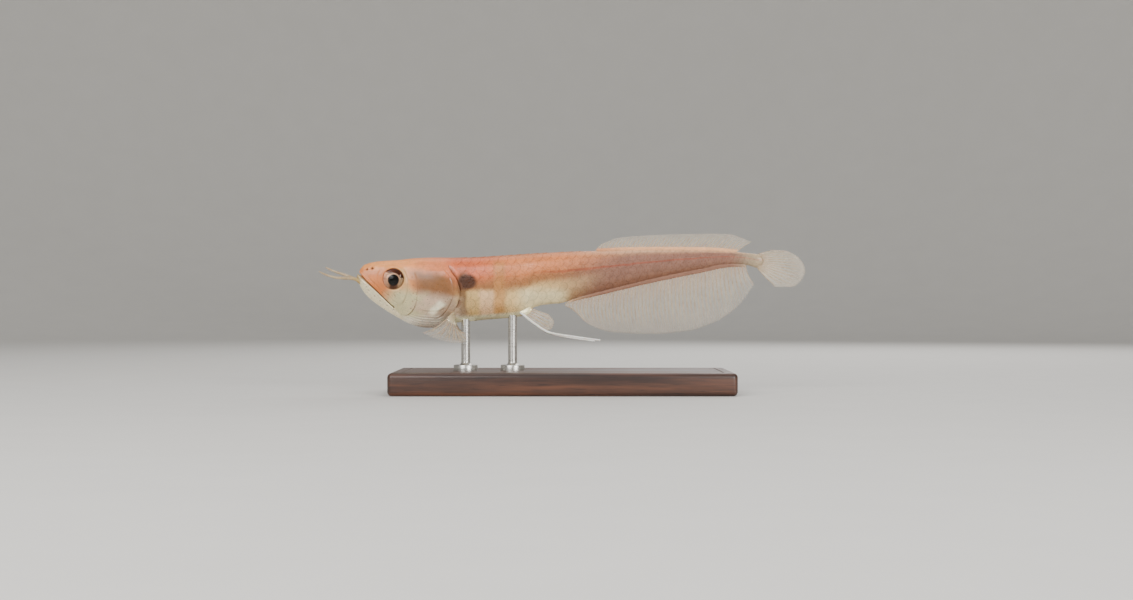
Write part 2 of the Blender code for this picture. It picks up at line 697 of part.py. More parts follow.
def main():
    for obj in list(bpy.data.objects):
        bpy.data.objects.remove(obj)
    parts = bpy.data.collections.new("silver_arowana")
    guides = bpy.data.collections.new("cutters")
    for collection in (parts, guides):
        bpy.context.scene.collection.children.link(collection)
    head, _ = make_head_and_jaw(parts, guides)
    make_gill_covers(parts, guides, head)
    make_eyes_and_nostrils(parts, guides, head)
    make_trunk_and_tail(parts, guides)
    near_body = as_guide(loft("guide_near_body", even_stations(18, 62, 1.6), guides, GAP))
    make_unpaired_fins(parts)
    make_paired_fins(parts, guides, near_body)
    make_barbels(parts, guides)
    make_stand(parts, near_body)
    paint(parts)


main()
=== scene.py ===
# Silver arowana: the looks of a young fish, as a still, life-size model on its stand.
# Sizes are in millimetres: s runs back from the snout tip, y to the fish's right, z up from the snout.

import itertools
import math
import random

import bpy
import numpy as np
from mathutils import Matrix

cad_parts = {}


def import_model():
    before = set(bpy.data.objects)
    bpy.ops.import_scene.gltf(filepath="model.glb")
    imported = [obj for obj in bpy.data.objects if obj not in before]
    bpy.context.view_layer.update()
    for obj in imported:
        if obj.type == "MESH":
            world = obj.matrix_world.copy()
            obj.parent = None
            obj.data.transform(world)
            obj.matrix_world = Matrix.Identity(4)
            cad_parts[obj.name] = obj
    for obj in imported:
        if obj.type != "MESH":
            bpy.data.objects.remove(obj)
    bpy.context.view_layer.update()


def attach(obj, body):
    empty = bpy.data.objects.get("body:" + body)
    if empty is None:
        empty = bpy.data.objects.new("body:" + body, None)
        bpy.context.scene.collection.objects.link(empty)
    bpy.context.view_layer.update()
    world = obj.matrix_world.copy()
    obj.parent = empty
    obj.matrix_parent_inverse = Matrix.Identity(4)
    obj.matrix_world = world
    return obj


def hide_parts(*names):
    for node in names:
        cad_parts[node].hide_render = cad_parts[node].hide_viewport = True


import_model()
mm = 0.001
print("frame loaded")


# The body's outlines, as (s, z) along back and belly and as (s, half width), and its cross-sections
body = {
    "snoutLevel": 31.4, "middle": 54.85, "tailRoot": 106.7, "end": 108,
    "back": ((0, -0.2), (0.5, 1.0), (1.2, 2.0), (2.2, 2.85), (5.6, 3.65), (11.5, 4.05), (15.5, 4.5),
        (22, 4.75), (30, 4.8), (38, 5.25), (51.5, 6.1), (64.8, 6.6), (78, 6.85), (91, 6.75),
        (100, 6.3), (108, 5.6)),
    "belly": ((0, -0.6), (0.5, -2.2), (1.2, -3.6), (2.5, -5.4), (4.8, -7.4), (9.3, -10.4), (14.2, -13.0),
        (18, -14.0), (21.5, -14.1), (24, -13.2), (32.8, -12.2), (43.5, -11.2), (45.5, -10.3),
        (47.3, -8.7), (50.5, -7.95), (54.5, -7.6), (57.5, -6.6), (64.8, -4.7), (78, -1.4),
        (91, 1.3), (100, 2.8), (103.5, 2.6), (108, 1.2)),
    "halfWidth": ((0, 0.5), (0.5, 1.2), (1.2, 1.6), (2.2, 1.95), (5.6, 2.6), (11.5, 3.25), (15.5, 3.6),
        (22, 4.0), (26, 3.95), (38, 3.85), (51.5, 3.45), (64.8, 2.9), (78, 2.25), (91, 1.55),
        (100, 1.1), (108, 0.7)),
    "widestShare": ((0, 0.45), (12, 0.42), (30, 0.38), (108, 0.45)),
    "upperSquareness": ((0, 2.2), (6, 2.7), (20, 2.5), (40, 2.2), (108, 2.0)),
    "lowerSquareness": ((0, 2.0), (6, 1.75), (20, 1.6), (60, 1.5), (108, 1.8)),
}


def stacked(*parts):
    return np.stack(np.broadcast_arrays(*parts), -1)


# Places (s, y, z) in millimetres turned into the frame's metres
def world(places):
    return (np.asarray(places, float) + (-body["middle"], 0, body["snoutLevel"])) * mm


# Smooth value read from a line of (place, value) pairs, without overshoot between them
def readLine(line, place):
    xs, ys = np.array(line, float).T
    steps = np.diff(ys) / np.diff(xs)
    before, after = steps[:-1], steps[1:]
    alike = before * after > 0
    inner = np.where(alike, 2 * before * after / np.where(alike, before + after, 1), 0)
    slopes = np.concatenate((steps[:1], inner, steps[-1:]))
    place = np.clip(place, xs[0], xs[-1])
    i = np.clip(np.searchsorted(xs, place, side="right") - 1, 0, len(steps) - 1)
    span = xs[i + 1] - xs[i]
    t = (place - xs[i]) / span
    bend = (slopes[i] + slopes[i + 1] - 2 * steps[i]) * span
    lean = (3 * steps[i] - 2 * slopes[i] - slopes[i + 1]) * span
    return ys[i] + t * (slopes[i] * span + t * (lean + t * bend))


# Point on a smooth curve through (share, ...) points, one value for each further number
def readCurve(curve, share):
    return [readLine([(p[0], p[axis]) for p in curve], share) for axis in range(1, len(curve[0]))]


def smooth(value, low, high):
    t = np.clip((value - low) / (high - low), 0, 1)
    return t * t * (3 - 2 * t)


def bell(value, middle, width):
    return np.exp(-((value - middle) / width) ** 2)


# Points (across, up) on a quarter of an ellipse, from its top to its side
def quarterArc(wide, high, steps):
    angles = np.linspace(0, math.pi / 2, steps + 1)
    return stacked(wide * np.sin(angles), high * np.cos(angles))


# Points spread evenly along a smooth path through a few chosen points
def smoothPath(points, steps):
    points = np.array(points, float)
    lengths = np.concatenate(([0], np.cumsum(np.linalg.norm(np.diff(points, axis=0), axis=1))))
    curve = [(length, *point) for length, point in zip(lengths, points)]
    return np.stack(readCurve(curve, np.linspace(0, lengths[-1], steps + 1)), -1)


# How far points lie to the left of a line in the side view, and at which share of it
def besideLine(s, z, line):
    nearest, turn, place = np.full(np.shape(s), 1e9), np.zeros(np.shape(s)), np.zeros(np.shape(s))
    for i, ((s0, z0), (s1, z1)) in enumerate(zip(line[:-1], line[1:])):
        ds, dz = s1 - s0, z1 - z0
        t = np.clip(((s - s0) * ds + (z - z0) * dz) / (ds * ds + dz * dz), 0, 1)
        reach = np.hypot(s - s0 - t * ds, z - z0 - t * dz)
        closer = reach < nearest
        turn = np.where(closer, ds * (z - z0) - dz * (s - s0), turn)
        place = np.where(closer, (i + t) / (len(line) - 1), place)
        nearest = np.minimum(reach, nearest)
    return nearest * np.sign(turn), place


# Half width, widest level, rise, drop and the two powers of the cross-section at s
def sectionAt(s, grow=0.0, flare=0.0):
    top = readLine(body["back"], s) + grow
    bottom = readLine(body["belly"], s) - grow
    width = np.maximum(readLine(body["halfWidth"], s) + grow, 0.05) + flare
    level = top - readLine(body["widestShare"], s) * (top - bottom)
    upper = 2 / readLine(body["upperSquareness"], s)
    lower = 2 / readLine(body["lowerSquareness"], s)
    return width, level, top - level, level - bottom, upper, lower


# Point (y, z) of the body's surface at an angle from straight up
def pointAt(s, angle, grow=0.0, flare=0.0):
    width, level, rise, drop, upper, lower = sectionAt(s, grow, flare)
    high = np.cos(angle) >= 0
    power = np.where(high, upper, lower)
    y = width * np.abs(np.sin(angle)) ** power
    z = level + np.where(high, rise, -drop) * np.abs(np.cos(angle)) ** power
    return y, z


# Angles of points spread evenly from back to belly, and the length of that way round, along the body
tableStations = np.linspace(0, body["end"], 433)
tableShares = np.linspace(0, 1, 201)


def spreadAngles():
    angles = np.linspace(0, math.pi, 1201)
    rows, girths = [], []
    for s in tableStations:
        y, z = pointAt(s, angles)
        reach = np.concatenate(([0], np.cumsum(np.hypot(np.diff(y), np.diff(z)))))
        rows.append(np.interp(tableShares * reach[-1], reach, angles))
        girths.append(reach[-1])
    return np.array(rows), np.array(girths)


angleTable, girthTable = spreadAngles()


def angleAt(s, share):
    s, share = np.broadcast_arrays(s, share)
    row = np.clip(s / tableStations[1], 0, len(tableStations) - 1.001)
    column = np.clip(share / tableShares[1], 0, len(tableShares) - 1.001)
    i, j = row.astype(int), column.astype(int)
    u, v = row - i, column - j
    upper = angleTable[i, j] * (1 - v) + angleTable[i, j + 1] * v
    lower = angleTable[i + 1, j] * (1 - v) + angleTable[i + 1, j + 1] * v
    return upper * (1 - u) + lower * u


def girthAt(s):
    return np.interp(s, tableStations, girthTable)


# Share of the way from back to belly at which the surface has height z
def shareAt(s, z):
    level, rise, drop, upper, lower = sectionAt(s)[1:]
    above = z >= level
    cosine = np.clip(np.abs(z - level) / np.where(above, rise, drop), 0, 1)
    angle = np.arccos(cosine ** (1 / np.where(above, upper, lower)))
    row = angleTable[int(round(float(np.clip(s, 0, body["end"] - 0.1)) / tableStations[1]))]
    return float(np.interp(np.where(above, angle, math.pi - angle), row, tableShares))


# Surface point at s and a share of the way round, on the fish's right
def surfaceAt(s, share, grow=0.0, flare=0.0):
    return stacked(s, *pointAt(s, angleAt(s, share), grow, flare))


def unit(directions):
    return directions / np.maximum(np.linalg.norm(directions, axis=-1, keepdims=True), 1e-9)


# Outward direction of the surface there
def surfaceNormal(s, share, grow=0.0, flare=0.0):
    along = surfaceAt(s + 0.05, share, grow, flare) - surfaceAt(s - 0.05, share, grow, flare)
    share = np.clip(share, 0.004, 0.996)
    around = surfaceAt(s, share + 0.003, grow, flare) - surfaceAt(s, share - 0.003, grow, flare)
    return unit(np.cross(along, around))


def deselectAll():
    if bpy.context.object and bpy.context.object.mode != "OBJECT":
        bpy.ops.object.mode_set(mode="OBJECT")
    bpy.ops.object.select_all(action="DESELECT")


def makeActive(piece):
    deselectAll()
    piece.select_set(True)
    bpy.context.view_layer.objects.active = piece


def addObject(name, data, place=(0, 0, 0)):
    item = bpy.data.objects.new(name, data)
    bpy.context.scene.collection.objects.link(item)
    item.location = np.array(place) * mm
    return item


# Grid primitive whose points are moved to the given rows and columns of places in metres
def shapedSheet(name, points):
    rows, columns = points.shape[:2]
    deselectAll()
    bpy.ops.mesh.primitive_grid_add(x_subdivisions=columns - 1, y_subdivisions=rows - 1, size=1)
    piece = bpy.context.object
    piece.name = piece.data.name = name
    piece.data.vertices.foreach_set("co", points.reshape(-1).astype(np.float32))
    piece.data.update()
    return piece


# Upright turned form from a profile of (radius, height), about an axis at x
def turnedForm(name, profile, steps, x=0.0):
    radius, height = np.array(profile).T[..., None]
    turns = np.linspace(0, 2 * math.pi, steps + 1)
    piece = shapedSheet(name, stacked(x + radius * np.cos(turns), radius * np.sin(turns), height) * mm)
    weld(piece)
    return piece


# Closes a piece's seams and poles and turns its faces outward
def weld(piece, distance=0.002):
    makeActive(piece)
    bpy.ops.object.mode_set(mode="EDIT")
    bpy.ops.mesh.select_all(action="SELECT")
    bpy.ops.mesh.remove_doubles(threshold=distance * mm)
    bpy.ops.mesh.normals_make_consistent(inside=False)
    bpy.ops.object.mode_set(mode="OBJECT")


def addValues(piece, name, values):
    layer = piece.data.attributes.new(name, "FLOAT", "POINT")
    layer.data.foreach_set("value", np.asarray(values, np.float32).reshape(-1))


# UV map of a piece of the coat, given for each point
def addBakePlaces(piece, places):
    layer = piece.data.uv_layers.active or piece.data.uv_layers.new()
    layer.name = "OFBake"
    corners = np.empty(len(piece.data.loops), int)
    piece.data.loops.foreach_get("vertex_index", corners)
    layer.data.foreach_set("uv", places[corners].reshape(-1))


def finishPiece(piece, slot, material, replaced=(), angle=None):
    makeActive(piece)
    if angle is None:
        bpy.ops.object.shade_smooth()
    else:
        bpy.ops.object.shade_smooth_by_angle(angle=math.radians(angle))
    piece.data.materials.clear()
    piece.data.materials.append(material)
    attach(piece, "root")
    if replaced:
        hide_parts(*replaced)


# Tapered round strands along paths of (s, y, z), with a radius at each point, as one mesh
def strands(name, paths, sides=8):
    deselectAll()
    curve = bpy.data.curves.new(name, "CURVE")
    curve.dimensions = "3D"
    curve.bevel_depth = mm
    curve.bevel_resolution = sides // 4 - 1
    curve.use_fill_caps = True
    for places, radii in paths:
        spline = curve.splines.new("POLY")
        spline.points.add(len(places) - 1)
        coordinates = np.pad(world(places), ((0, 0), (0, 1)), constant_values=1)
        spline.points.foreach_set("co", coordinates.reshape(-1))
        spline.points.foreach_set("radius", np.broadcast_to(radii, len(places)).astype(float))
    makeActive(addObject(name, curve))
    bpy.ops.object.convert(target="MESH")
    piece = bpy.context.object
    weld(piece, 0.001)
    return piece


# Colours are written as they look on a screen, from 0 to 255, and deepened because the film look mutes them
colours = {"depth": 1.4, "brightest": 0.93, "weights": (0.2126, 0.7152, 0.0722)}


def tint(*levels):
    parts = [((level / 255 + 0.055) / 1.055) ** 2.4 if level > 10 else level / 3295 for level in levels]
    grey = sum(weight * part for weight, part in zip(colours["weights"], parts))
    deepened = [grey * (part / grey) ** colours["depth"] for part in parts]
    return *(min(part, colours["brightest"]) for part in deepened), 1


# Value or colour in a node tree, so that sums and products of values are written as such
class Value:
    def __init__(self, socket):
        self.socket = socket
        self.tree = socket.id_data

    def __add__(self, other):
        return calc("ADD", self, other)

    def __sub__(self, other):
        return calc("SUBTRACT", self, other)

    def __mul__(self, other):
        return calc("MULTIPLY", self, other)


def setInputs(node, inputs):
    for key, value in inputs.items():
        if isinstance(value, Value):
            value.tree.links.new(value.socket, node.inputs[key])
        else:
            node.inputs[key].default_value = value


# New node, of which one output or all are given back
def addNode(tree, kind, inputs=(), out=0, **settings):
    node = tree.nodes.new("ShaderNode" + kind)
    for key, value in settings.items():
        setattr(node, key, value)
    setInputs(node, dict(inputs))
    return [Value(socket) for socket in node.outputs] if out == "all" else Value(node.outputs[out])


def calc(operation, *values):
    return addNode(values[0].tree, "Math", enumerate(values), operation=operation)


# Smooth step between two outputs while the value goes from low to high, or from high to low
def ramp(value, low, high, outLow=0, outHigh=1):
    if low > high:
        low, high, outLow, outHigh = high, low, outHigh, outLow
    inputs = {"Value": value, "From Min": low, "From Max": high, "To Min": outLow, "To Max": outHigh}
    return addNode(value.tree, "MapRange", inputs, interpolation_type="SMOOTHSTEP")


# Mask of a stretch from low to high with soft ends
def stretch(value, low, high, soft):
    return ramp(value, low - soft, low + soft) * ramp(value, high + soft, high - soft)


def blend(mask, under, over):
    return addNode(mask.tree, "Mix", {"Factor": mask, 6: under, 7: over}, 2, data_type="RGBA")


# Colours laid one over another, each by its mask
def layered(colour, *layers):
    for mask, over in layers:
        colour = blend(mask, colour, over)
    return colour


# The colour made darker or brighter by a factor
def shade(colour, factor):
    return addNode(colour.tree, "HueSaturation", {"Color": colour, "Value": factor})


def noise(place, scale, detail=3, roughness=0.5, out="Fac"):
    inputs = {"Vector": place, "Scale": scale, "Detail": detail, "Roughness": roughness}
    return addNode(place.tree, "TexNoise", inputs, out)


def newMaterial(name, **constants):
    material = bpy.data.materials.new(name)
    material.use_nodes = True
    shader = material.node_tree.nodes["Principled BSDF"]
    setInputs(shader, {key.replace("_", " "): value for key, value in constants.items()})
    return material, material.node_tree, shader


def objectPlace(tree):
    return addNode(tree, "TexCoord", out="Object")


def readValue(tree, name):
    return addNode(tree, "Attribute", out="Fac", attribute_name=name)


# Values s and z of a place in metres
def fishPlace(place):
    x, _, z = addNode(place.tree, "SeparateXYZ", {0: place}, "all")
    return x * (1 / mm) + body["middle"], z * (1 / mm) - body["snoutLevel"]


# Colours of the fish's regions, under studio light; the crease, mouth lining, chin tip and first band
# colours carry painted shade, the streak is a painted highlight, the throat is partly painted light
fishTints = {
    "snout": (196, 134, 86), "headTop": (242, 166, 108), "nape": (204, 140, 102), "tan": (124, 90, 56),
    "behindEye": (200, 164, 120), "cheek": (214, 206, 172), "cheekPink": (216, 194, 174),
    "membrane": (182, 162, 142), "throat": (255, 238, 222), "streak": (255, 238, 214),
    "jaw": (255, 234, 206), "chinTipShade": (166, 146, 104), "mouthLiningAndCavityShade": (84, 54, 38), "creaseShade": (104, 70, 46),
    "backEdge": (172, 122, 86), "backFront": (192, 115, 80), "backMiddle": (204, 140, 96),
    "backRear": (226, 186, 150), "flankFront": (156, 113, 74), "flankRear": (138, 106, 92),
    "bellyFront": (255, 208, 156), "bellyRear": (134, 104, 88), "keel": (255, 240, 206),
    "bandAndGillShadow": (98, 74, 46), "bandTwo": (184, 138, 88), "yellowPanel": (214, 186, 136),
    "palePanel": (236, 202, 164), "cream": (255, 228, 188), "peduncle": (176, 162, 138),
    "spot": (58, 32, 0), "lateral": (140, 70, 46),
}
ink = {name: tint(*levels) for name, levels in fishTints.items()}


# The fish's markings, shared by skin, scales and rims: colour, how silvery, and the fine relief
def markingsGroup():
    tree = bpy.data.node_groups.new("Fish markings", "ShaderNodeTree")
    for way, names in (("INPUT", {"Position": "Vector", "Girth": "Float", "Deep": "Float"}),
                       ("OUTPUT", {"Colour": "Color", "Silver": "Float", "Height": "Float"})):
        for label, kind in names.items():
            tree.interface.new_socket(name=label, in_out=way, socket_type="NodeSocket" + kind)
    place, evenGirth, deep = [Value(socket) for socket in tree.nodes.new("NodeGroupInput").outputs[:3]]
    s, z = fishPlace(place)
    belowMouth = ramp(s * 0.98 + z, 1.15, 0.7)
    spotS, spotZ = (s - 29.6) * 0.4, (z + 1.85) * 0.48
    spotReach = spotS * spotS + spotZ * spotZ

    # edges wander a little
    wander = addNode(tree, "SeparateColor", {0: noise(place, 330, 2, out="Color")}, "all")
    s = s + (wander[0] - 0.5) * 1.6
    z = z + (wander[1] - 0.5) * 1.6
    girth = evenGirth + (wander[2] - 0.5) * 0.07

    # trunk and tail from back to belly, belly panels and bands, lateral line
    back = blend(ramp(s, 30, 44), ink["backFront"], ink["backMiddle"])
    front = layered(
        ink["backEdge"],
        (ramp(girth, 0, 0.12), back),
        (ramp(girth, 0.30, 0.52), ink["flankFront"]),
        (ramp(girth, 0.50, 0.66), ink["bellyFront"]))
    rear = layered(
        ink["backRear"],
        (ramp(girth, 0.05, 0.30), ink["flankRear"]),
        (ramp(girth, 0.55, 0.85), ink["bellyRear"]))
    low = ramp(z, -3.4, -5.2)
    fromLine = calc("ABSOLUTE", girth - ramp(s, 26, 70, 0.36, 0.45))
    trunk = layered(
        front,
        (ramp(girth * 14 + s, 54, 78), rear),
        (stretch(s, 29.2, 33.0, 0.7) * low, ink["yellowPanel"]),
        (stretch(s, 32.8, 36.9, 0.8) * low, ink["palePanel"]),
        # first dark band, just behind the gill cover: a band marking deepened as painted shadow of the gill
        # opening
        (stretch(s, 27.2, 29.3, 0.6) * ramp(z, 1.8, -0.5) * 0.85, ink["bandAndGillShadow"]),
        (stretch(s, 36.6, 39.5, 0.8) * ramp(z, 4.5, 2.5) * 0.7, ink["bandTwo"]),
        (stretch(s, 43.5, 55.5, 2.5) * ramp(z, -2.6, -5.6), ink["cream"]),
        (ramp(s, 99, 106, 0, 0.85), ink["peduncle"]),
        (ramp(fromLine, 0.04, 0.004) * ramp(s, 44, 56) * 0.5, ink["lateral"]))

    # head: nape, the tan upper cheek, snout, the silver lower cheek with a painted highlight streak
    curved, fall = s + z * 0.22, z + s * 0.16
    pearl = blend(ramp(s + wander[2] * 9, 18, 25), ink["cheek"], ink["cheekPink"])
    # painted highlight: a slanting glint streak low on the gill cover, with less metal under it
    gleam = stretch(z - s * 0.9, -29.5, -27.0, 0.9) * stretch(z + s * 0.95, 8.4, 14.6, 1.3)
    head = layered(
        ink["headTop"],
        (ramp(s, 10, 22), ink["nape"]),
        (ramp(z + s * 0.13, 4.3, 1.9) * ramp(curved, 12.0, 17.6), ink["tan"]),
        (ramp(z, 2.4, 0.8) * stretch(curved, 11.4, 13.6, 0.9), ink["behindEye"]),
        (ramp(z, 2.4, 0.8) * ramp(s, 12, 8), ink["snout"]),
        (ramp(fall, -0.4, -3.5) * ramp(s - z * 0.7, 9.4, 15.6), pearl),
        (ramp(s * 1.1 - z * 0.9, 31.0, 33.5) * ramp(z, -5, -7), ink["membrane"]),
        # pale throat: the fish's own pale underside, made paler still as painted light where the form turns
        # into shade
        (ramp(z, -10, -12.4, 0, 0.9), ink["throat"]),
        (gleam * 0.9, ink["streak"]))
    whole = layered(
        trunk,
        (ramp(s - evenGirth * 6, 26, 21), head),
        (belowMouth * ramp(s, 13.5, 10.5), ink["jaw"]),
        # painted shade: olive-dark chin tip between the barbels' roots
        (belowMouth * ramp(s - z * 0.8, 3.6, 1.6, 0, 0.75), ink["chinTipShade"]),
        (ramp(spotReach, 1.5, 0.45, 0, 0.97), ink["spot"]),
        (ramp(evenGirth, 0.87, 0.93) * stretch(s, 23, 46, 1.5) * 0.9, ink["keel"]))

    # mottling, freckles, and painted shade in creases, grooves, pores, nostrils, mouth and gill slit
    mottle = noise(place, 900, 4, 0.6)
    freckles = ramp(noise(place, 3600, 2), 0.62, 0.70) * ramp(z, -2, 2)
    whole = shade(whole, ramp(mottle, 0.3, 0.72, 1.07, 0.87))
    whole = layered(
        shade(whole, freckles * -0.26 + 1),
        # painted shade: brownish in grooves, pores and creases, darkest flesh colour in the mouth, nostrils
        # and gill slit
        (ramp(deep, 0, 0.14, 0, 0.45), ink["creaseShade"]),
        (ramp(deep, 0.16, 0.8), ink["mouthLiningAndCavityShade"]))
    silver = ramp(fall, -2.6, 0.4, 1, 0.12) * ramp(s, 38, 52, 1, 0.35) * ramp(spotReach, 0.6, 1.8)
    silver = silver * ramp(gleam, 0.2, 0.9, 1, 0.35) * ramp(mottle, 0.3, 0.7, 1, 0.7) * ramp(deep, 0.5, 0.1)
    results = {"Colour": whole, "Silver": silver, "Height": noise(place, 2600, 3, 0.55)}
    setInputs(tree.nodes.new("NodeGroupOutput"), results)
    return tree


fishMarkings = markingsGroup()

# Moist, slightly translucent skin, and thin bony scales with a pearly gleam, a shade each and a darker rim
fleshLooks = {
    "moist_skin": {"subsurface": 0.12, "specular": 0.5, "coatRoughness": 0.12, "metallic": (0, 0.66),
        "roughness": (0.26, 0.42), "coat": (0.2, 0.38), "relief": (0.25, 0.06)},
    "pearly_scales": {"subsurface": 0.1, "specular": 0.55, "coatRoughness": 0.08, "metallic": (0.02, 0.42),
        "roughness": (0.24, 0.38), "coat": (0.08, 0.45), "relief": (0.2, 0.04),
        "tones": (0.95, 1.06), "rim": 0.74},
}


def fleshMaterial(name):
    looks = fleshLooks[name]
    material, tree, shader = newMaterial(
        name, Subsurface_Weight=looks["subsurface"], Subsurface_Radius=(1.0, 0.6, 0.4),
        Subsurface_Scale=0.8 * mm, Specular_IOR_Level=looks["specular"],
        Coat_Roughness=looks["coatRoughness"])
    given = {"Position": objectPlace(tree), "Girth": readValue(tree, "girth"),
             "Deep": readValue(tree, "deep")}
    colour, silver, height = addNode(tree, "Group", given, "all", node_tree=fishMarkings)
    if "rim" in looks:
        colour = shade(colour, ramp(readValue(tree, "tone"), 0, 1, *looks["tones"]))
        colour = shade(colour, ramp(readValue(tree, "rim"), 0.45, 1, 1, looks["rim"]))
    strength, distance = looks["relief"]
    bump = {"Height": height, "Strength": strength, "Distance": distance * mm}
    setInputs(shader, {
        "Base Color": colour,
        "Metallic": ramp(silver, 0, 1, *looks["metallic"]),
        "Roughness": ramp(height, 0.3, 0.7, *looks["roughness"]),
        "Coat Weight": ramp(silver, 0, 1, *looks["coat"]),
        "Normal": addNode(tree, "Bump", bump)})
    return material


skinLooks = fleshMaterial("moist_skin")


# Skin: how finely it is divided, how deep it lies, the mouth and the gill slit
skin = {
    "headRows": 214, "trunkStep": 0.8, "counts": (64, 12, 54),  # above, inside and below the mouth
    "headInset": 0.04, "trunkInset": 0.12, "insetChange": (18, 26), "snoutCap": 0.12, "tailCap": 2.0,
    "gillReference": 25.0, "gillBend": (13, 42),  # rows follow the gill margin between these places
    "gillEnds": (23.1, 21.8), "slitEnds": ((24.0, 2.9), (25.3, 0.8)),
    "gillMargin": ((23.6, 3.5), (25.3, 0.8), (27.0, -2), (27.6, -4.5), (27.0, -7.5), (24.9, -10.7),
        (22.6, -13.2)),
    "gillFlare": ((0, 0), (12, 0), (21, 0.33), (30, 0.33)),
    # rows of the slit: behind the margin, above the body, flare, painted shade; the cover's edge and inner
    # face, the slit's foot, and out over the trunk
    "gillFold": ((0.08, -0.05, 0.33, 0.0), (0.11, -0.16, 0.33, 0.0), (0.02, -0.27, 0.31, 0.35),
        (-0.45, -0.33, 0.26, 0.7), (-0.95, -0.42, 0.12, 1.0), (-0.8, -0.5, 0.0, 1.0),
        (-0.3, -0.48, 0.0, 0.8), (0.2, -0.36, 0.0, 0.5), (0.65, -0.22, 0.0, 0.25)),
    "upperLipEdge": ((0.5, 1.0), (1.7, -0.35), (4.8, -3.42), (8.5, -7.05), (9.95, -8.4)),
    "lowerLipEdge": ((0.2, 0.3), (1.5, -1.15), (3.2, -2.55), (4.8, -3.92), (8.3, -7.2), (9.95, -8.68)),
    "mouthCorner": (9.5, 10.3), "mouthEase": (10, 19), "mouthDepth": 0.86, "mouthBack": 2.6,
    "mouthDrop": 0.9, "mouthFront": (0.05, 0.25), "mouthFade": (0.6, 6.5), "mouthFullness": 0.55,
    "mouthShade": (0.0, 0.15), "upperLipStart": (0.5, 0.85), "lipStart": (0.1, 0.6),
    "lipHeight": 0.15, "lipPlace": 0.27, "lipWidth": 0.2,
}
eye = {
    "place": (10.0, -1.07), "radius": 2.9, "fromMiddle": 2.65, "bulge": 0.98, "depth": 1.2,
    "pupil": 1.5, "pupilDrop": 0.3, "pupilRise": (0.44, 0.24), "irisRise": 0.5, "irisShift": 0.2,
    "ballGap": 0.14, "corneaThick": 0.08, "rimAway": 0.1, "rimSink": 0.02, "rimThick": (0.17, 0.05),
    "fold": (3.25, 0.28, 0.10), "socket": (2.4, 2.95, 1.5),  # radius, width, height; floor, edge, depth
}
head = {
    "nostrils": ((2.9, 1.5, 0.2), (4.3, 1.75, 0.25)), "nostrilDepth": 0.45,
    "nostrilRim": (0.07, 1.7, 0.5),  # height, and place and width in radii
    # pores of the sense organs, along the jaw, under the eye and down the cheek
    "pores": ((3.3, -4.1), (4.8, -5.6), (6.4, -6.9), (8.1, -8.1), (9.9, -9.2), (7.0, -4.6), (8.6, -5.2),
        (10.3, -5.4), (11.8, -4.8), (14.6, -8.9), (15.1, -7.0), (15.3, -4.9), (15.3, -2.8),
        (15.0, -0.7)),
    "poreRadius": 0.15, "poreDepth": 0.1, "poreShade": 0.4, "edgeFade": 0.2, "edgeSoftness": 0.15,
    "groovePlace": -0.13, "grooveWidth": 0.12, "grooveShare": 0.4, "grooveShade": 0.8,
    "throatFolds": 0.75, "throatHeight": 0.07, "throatShares": (0.78, 0.86),
    "throatFront": (11.5, 14), "throatRear": (22.5, 24),
}

# Edges of the bony plates under the head's skin, as lines in the side view with the plate on their left:
# height of the edge, how far it takes to fall away, and the line
headEdges = {
    "maxilla": (0.13, 0.9, ((10.0, -9.0), (11.0, -9.0), (11.0, -8.2), (9.6, -6.6), (6.6, -3.9), (3.6, -1.1),
        (2.2, 0.3))),
    "snoutPlate": (0.06, 1.2, ((7.4, -4.1), (6.0, -2.6), (5.7, -0.6), (6.1, 0.9), (7.2, 2.0))),
    "cheekPlates": (0.13, 1.8, ((11.1, -8.6), (12.6, -7.0), (13.5, -4.6), (13.7, -1.8), (13.2, 0.6),
        (12.2, 2.2))),
    "cheekJoint": (0.05, 0.8, ((12.4, -1.9), (13.1, -2.5), (13.8, -2.5))),
    "preopercle": (0.15, 1.6, ((10.9, -10.2), (13.2, -10.7), (15.2, -9.2), (16.1, -6.6), (16.3, -3.4),
        (16.0, -0.6), (15.2, 1.6))),
    "opercle": (0.13, 2.4, ((19.2, -12.4), (22.2, -11.1), (24.6, -8.4), (25.8, -5.0), (25.5, -2.0),
        (24.0, 0.7), (21.6, 2.6))),
    "opercleTop": (0.06, 1.0, ((22.4, 2.4), (19.4, 2.7), (16.6, 2.1))),
    "subopercle": (0.07, 1.2, ((16.4, -8.8), (19.0, -9.6), (21.8, -9.5), (24.4, -8.2))),
    "brow": (0.07, 0.9, ((4.6, 2.2), (7.4, 2.75), (11.0, 2.7), (15.0, 3.1), (20.0, 3.6))),
    "jawBone": (0.07, 1.0, ((12.6, -11.0), (9.6, -9.4), (6.4, -7.2), (3.6, -4.7), (2.2, -2.9))),
}
edgeLines = [(height, fall, smoothPath(line, 28)) for height, fall, line in headEdges.values()]


# Shares of the way round at the mouth's two edges, easing to an even spread behind the mouth
def mouthShares(s):
    evenUpper, evenLower, _ = np.cumsum(skin["counts"]) / sum(skin["counts"])
    place = min(s, skin["upperLipEdge"][-1][0])
    upper = shareAt(place, readLine(skin["upperLipEdge"], place)) if place > 0.5 else 0.0
    lower = shareAt(place, readLine(skin["lowerLipEdge"], place)) if place > 0.2 else 0.0
    ease = smooth(s, *skin["mouthEase"])
    upper = max(upper * (1 - ease) + evenUpper * ease, 0.02)
    return upper, max(lower * (1 - ease) + evenLower * ease, upper + 0.03)


def aroundShares(s):
    above, inside, below = skin["counts"]
    upper, lower = mouthShares(s)
    return np.concatenate((np.linspace(0, upper, above + 1)[:-1],
                           np.linspace(upper, lower, inside + 1)[:-1],
                           np.linspace(lower, 1, below + 1)))


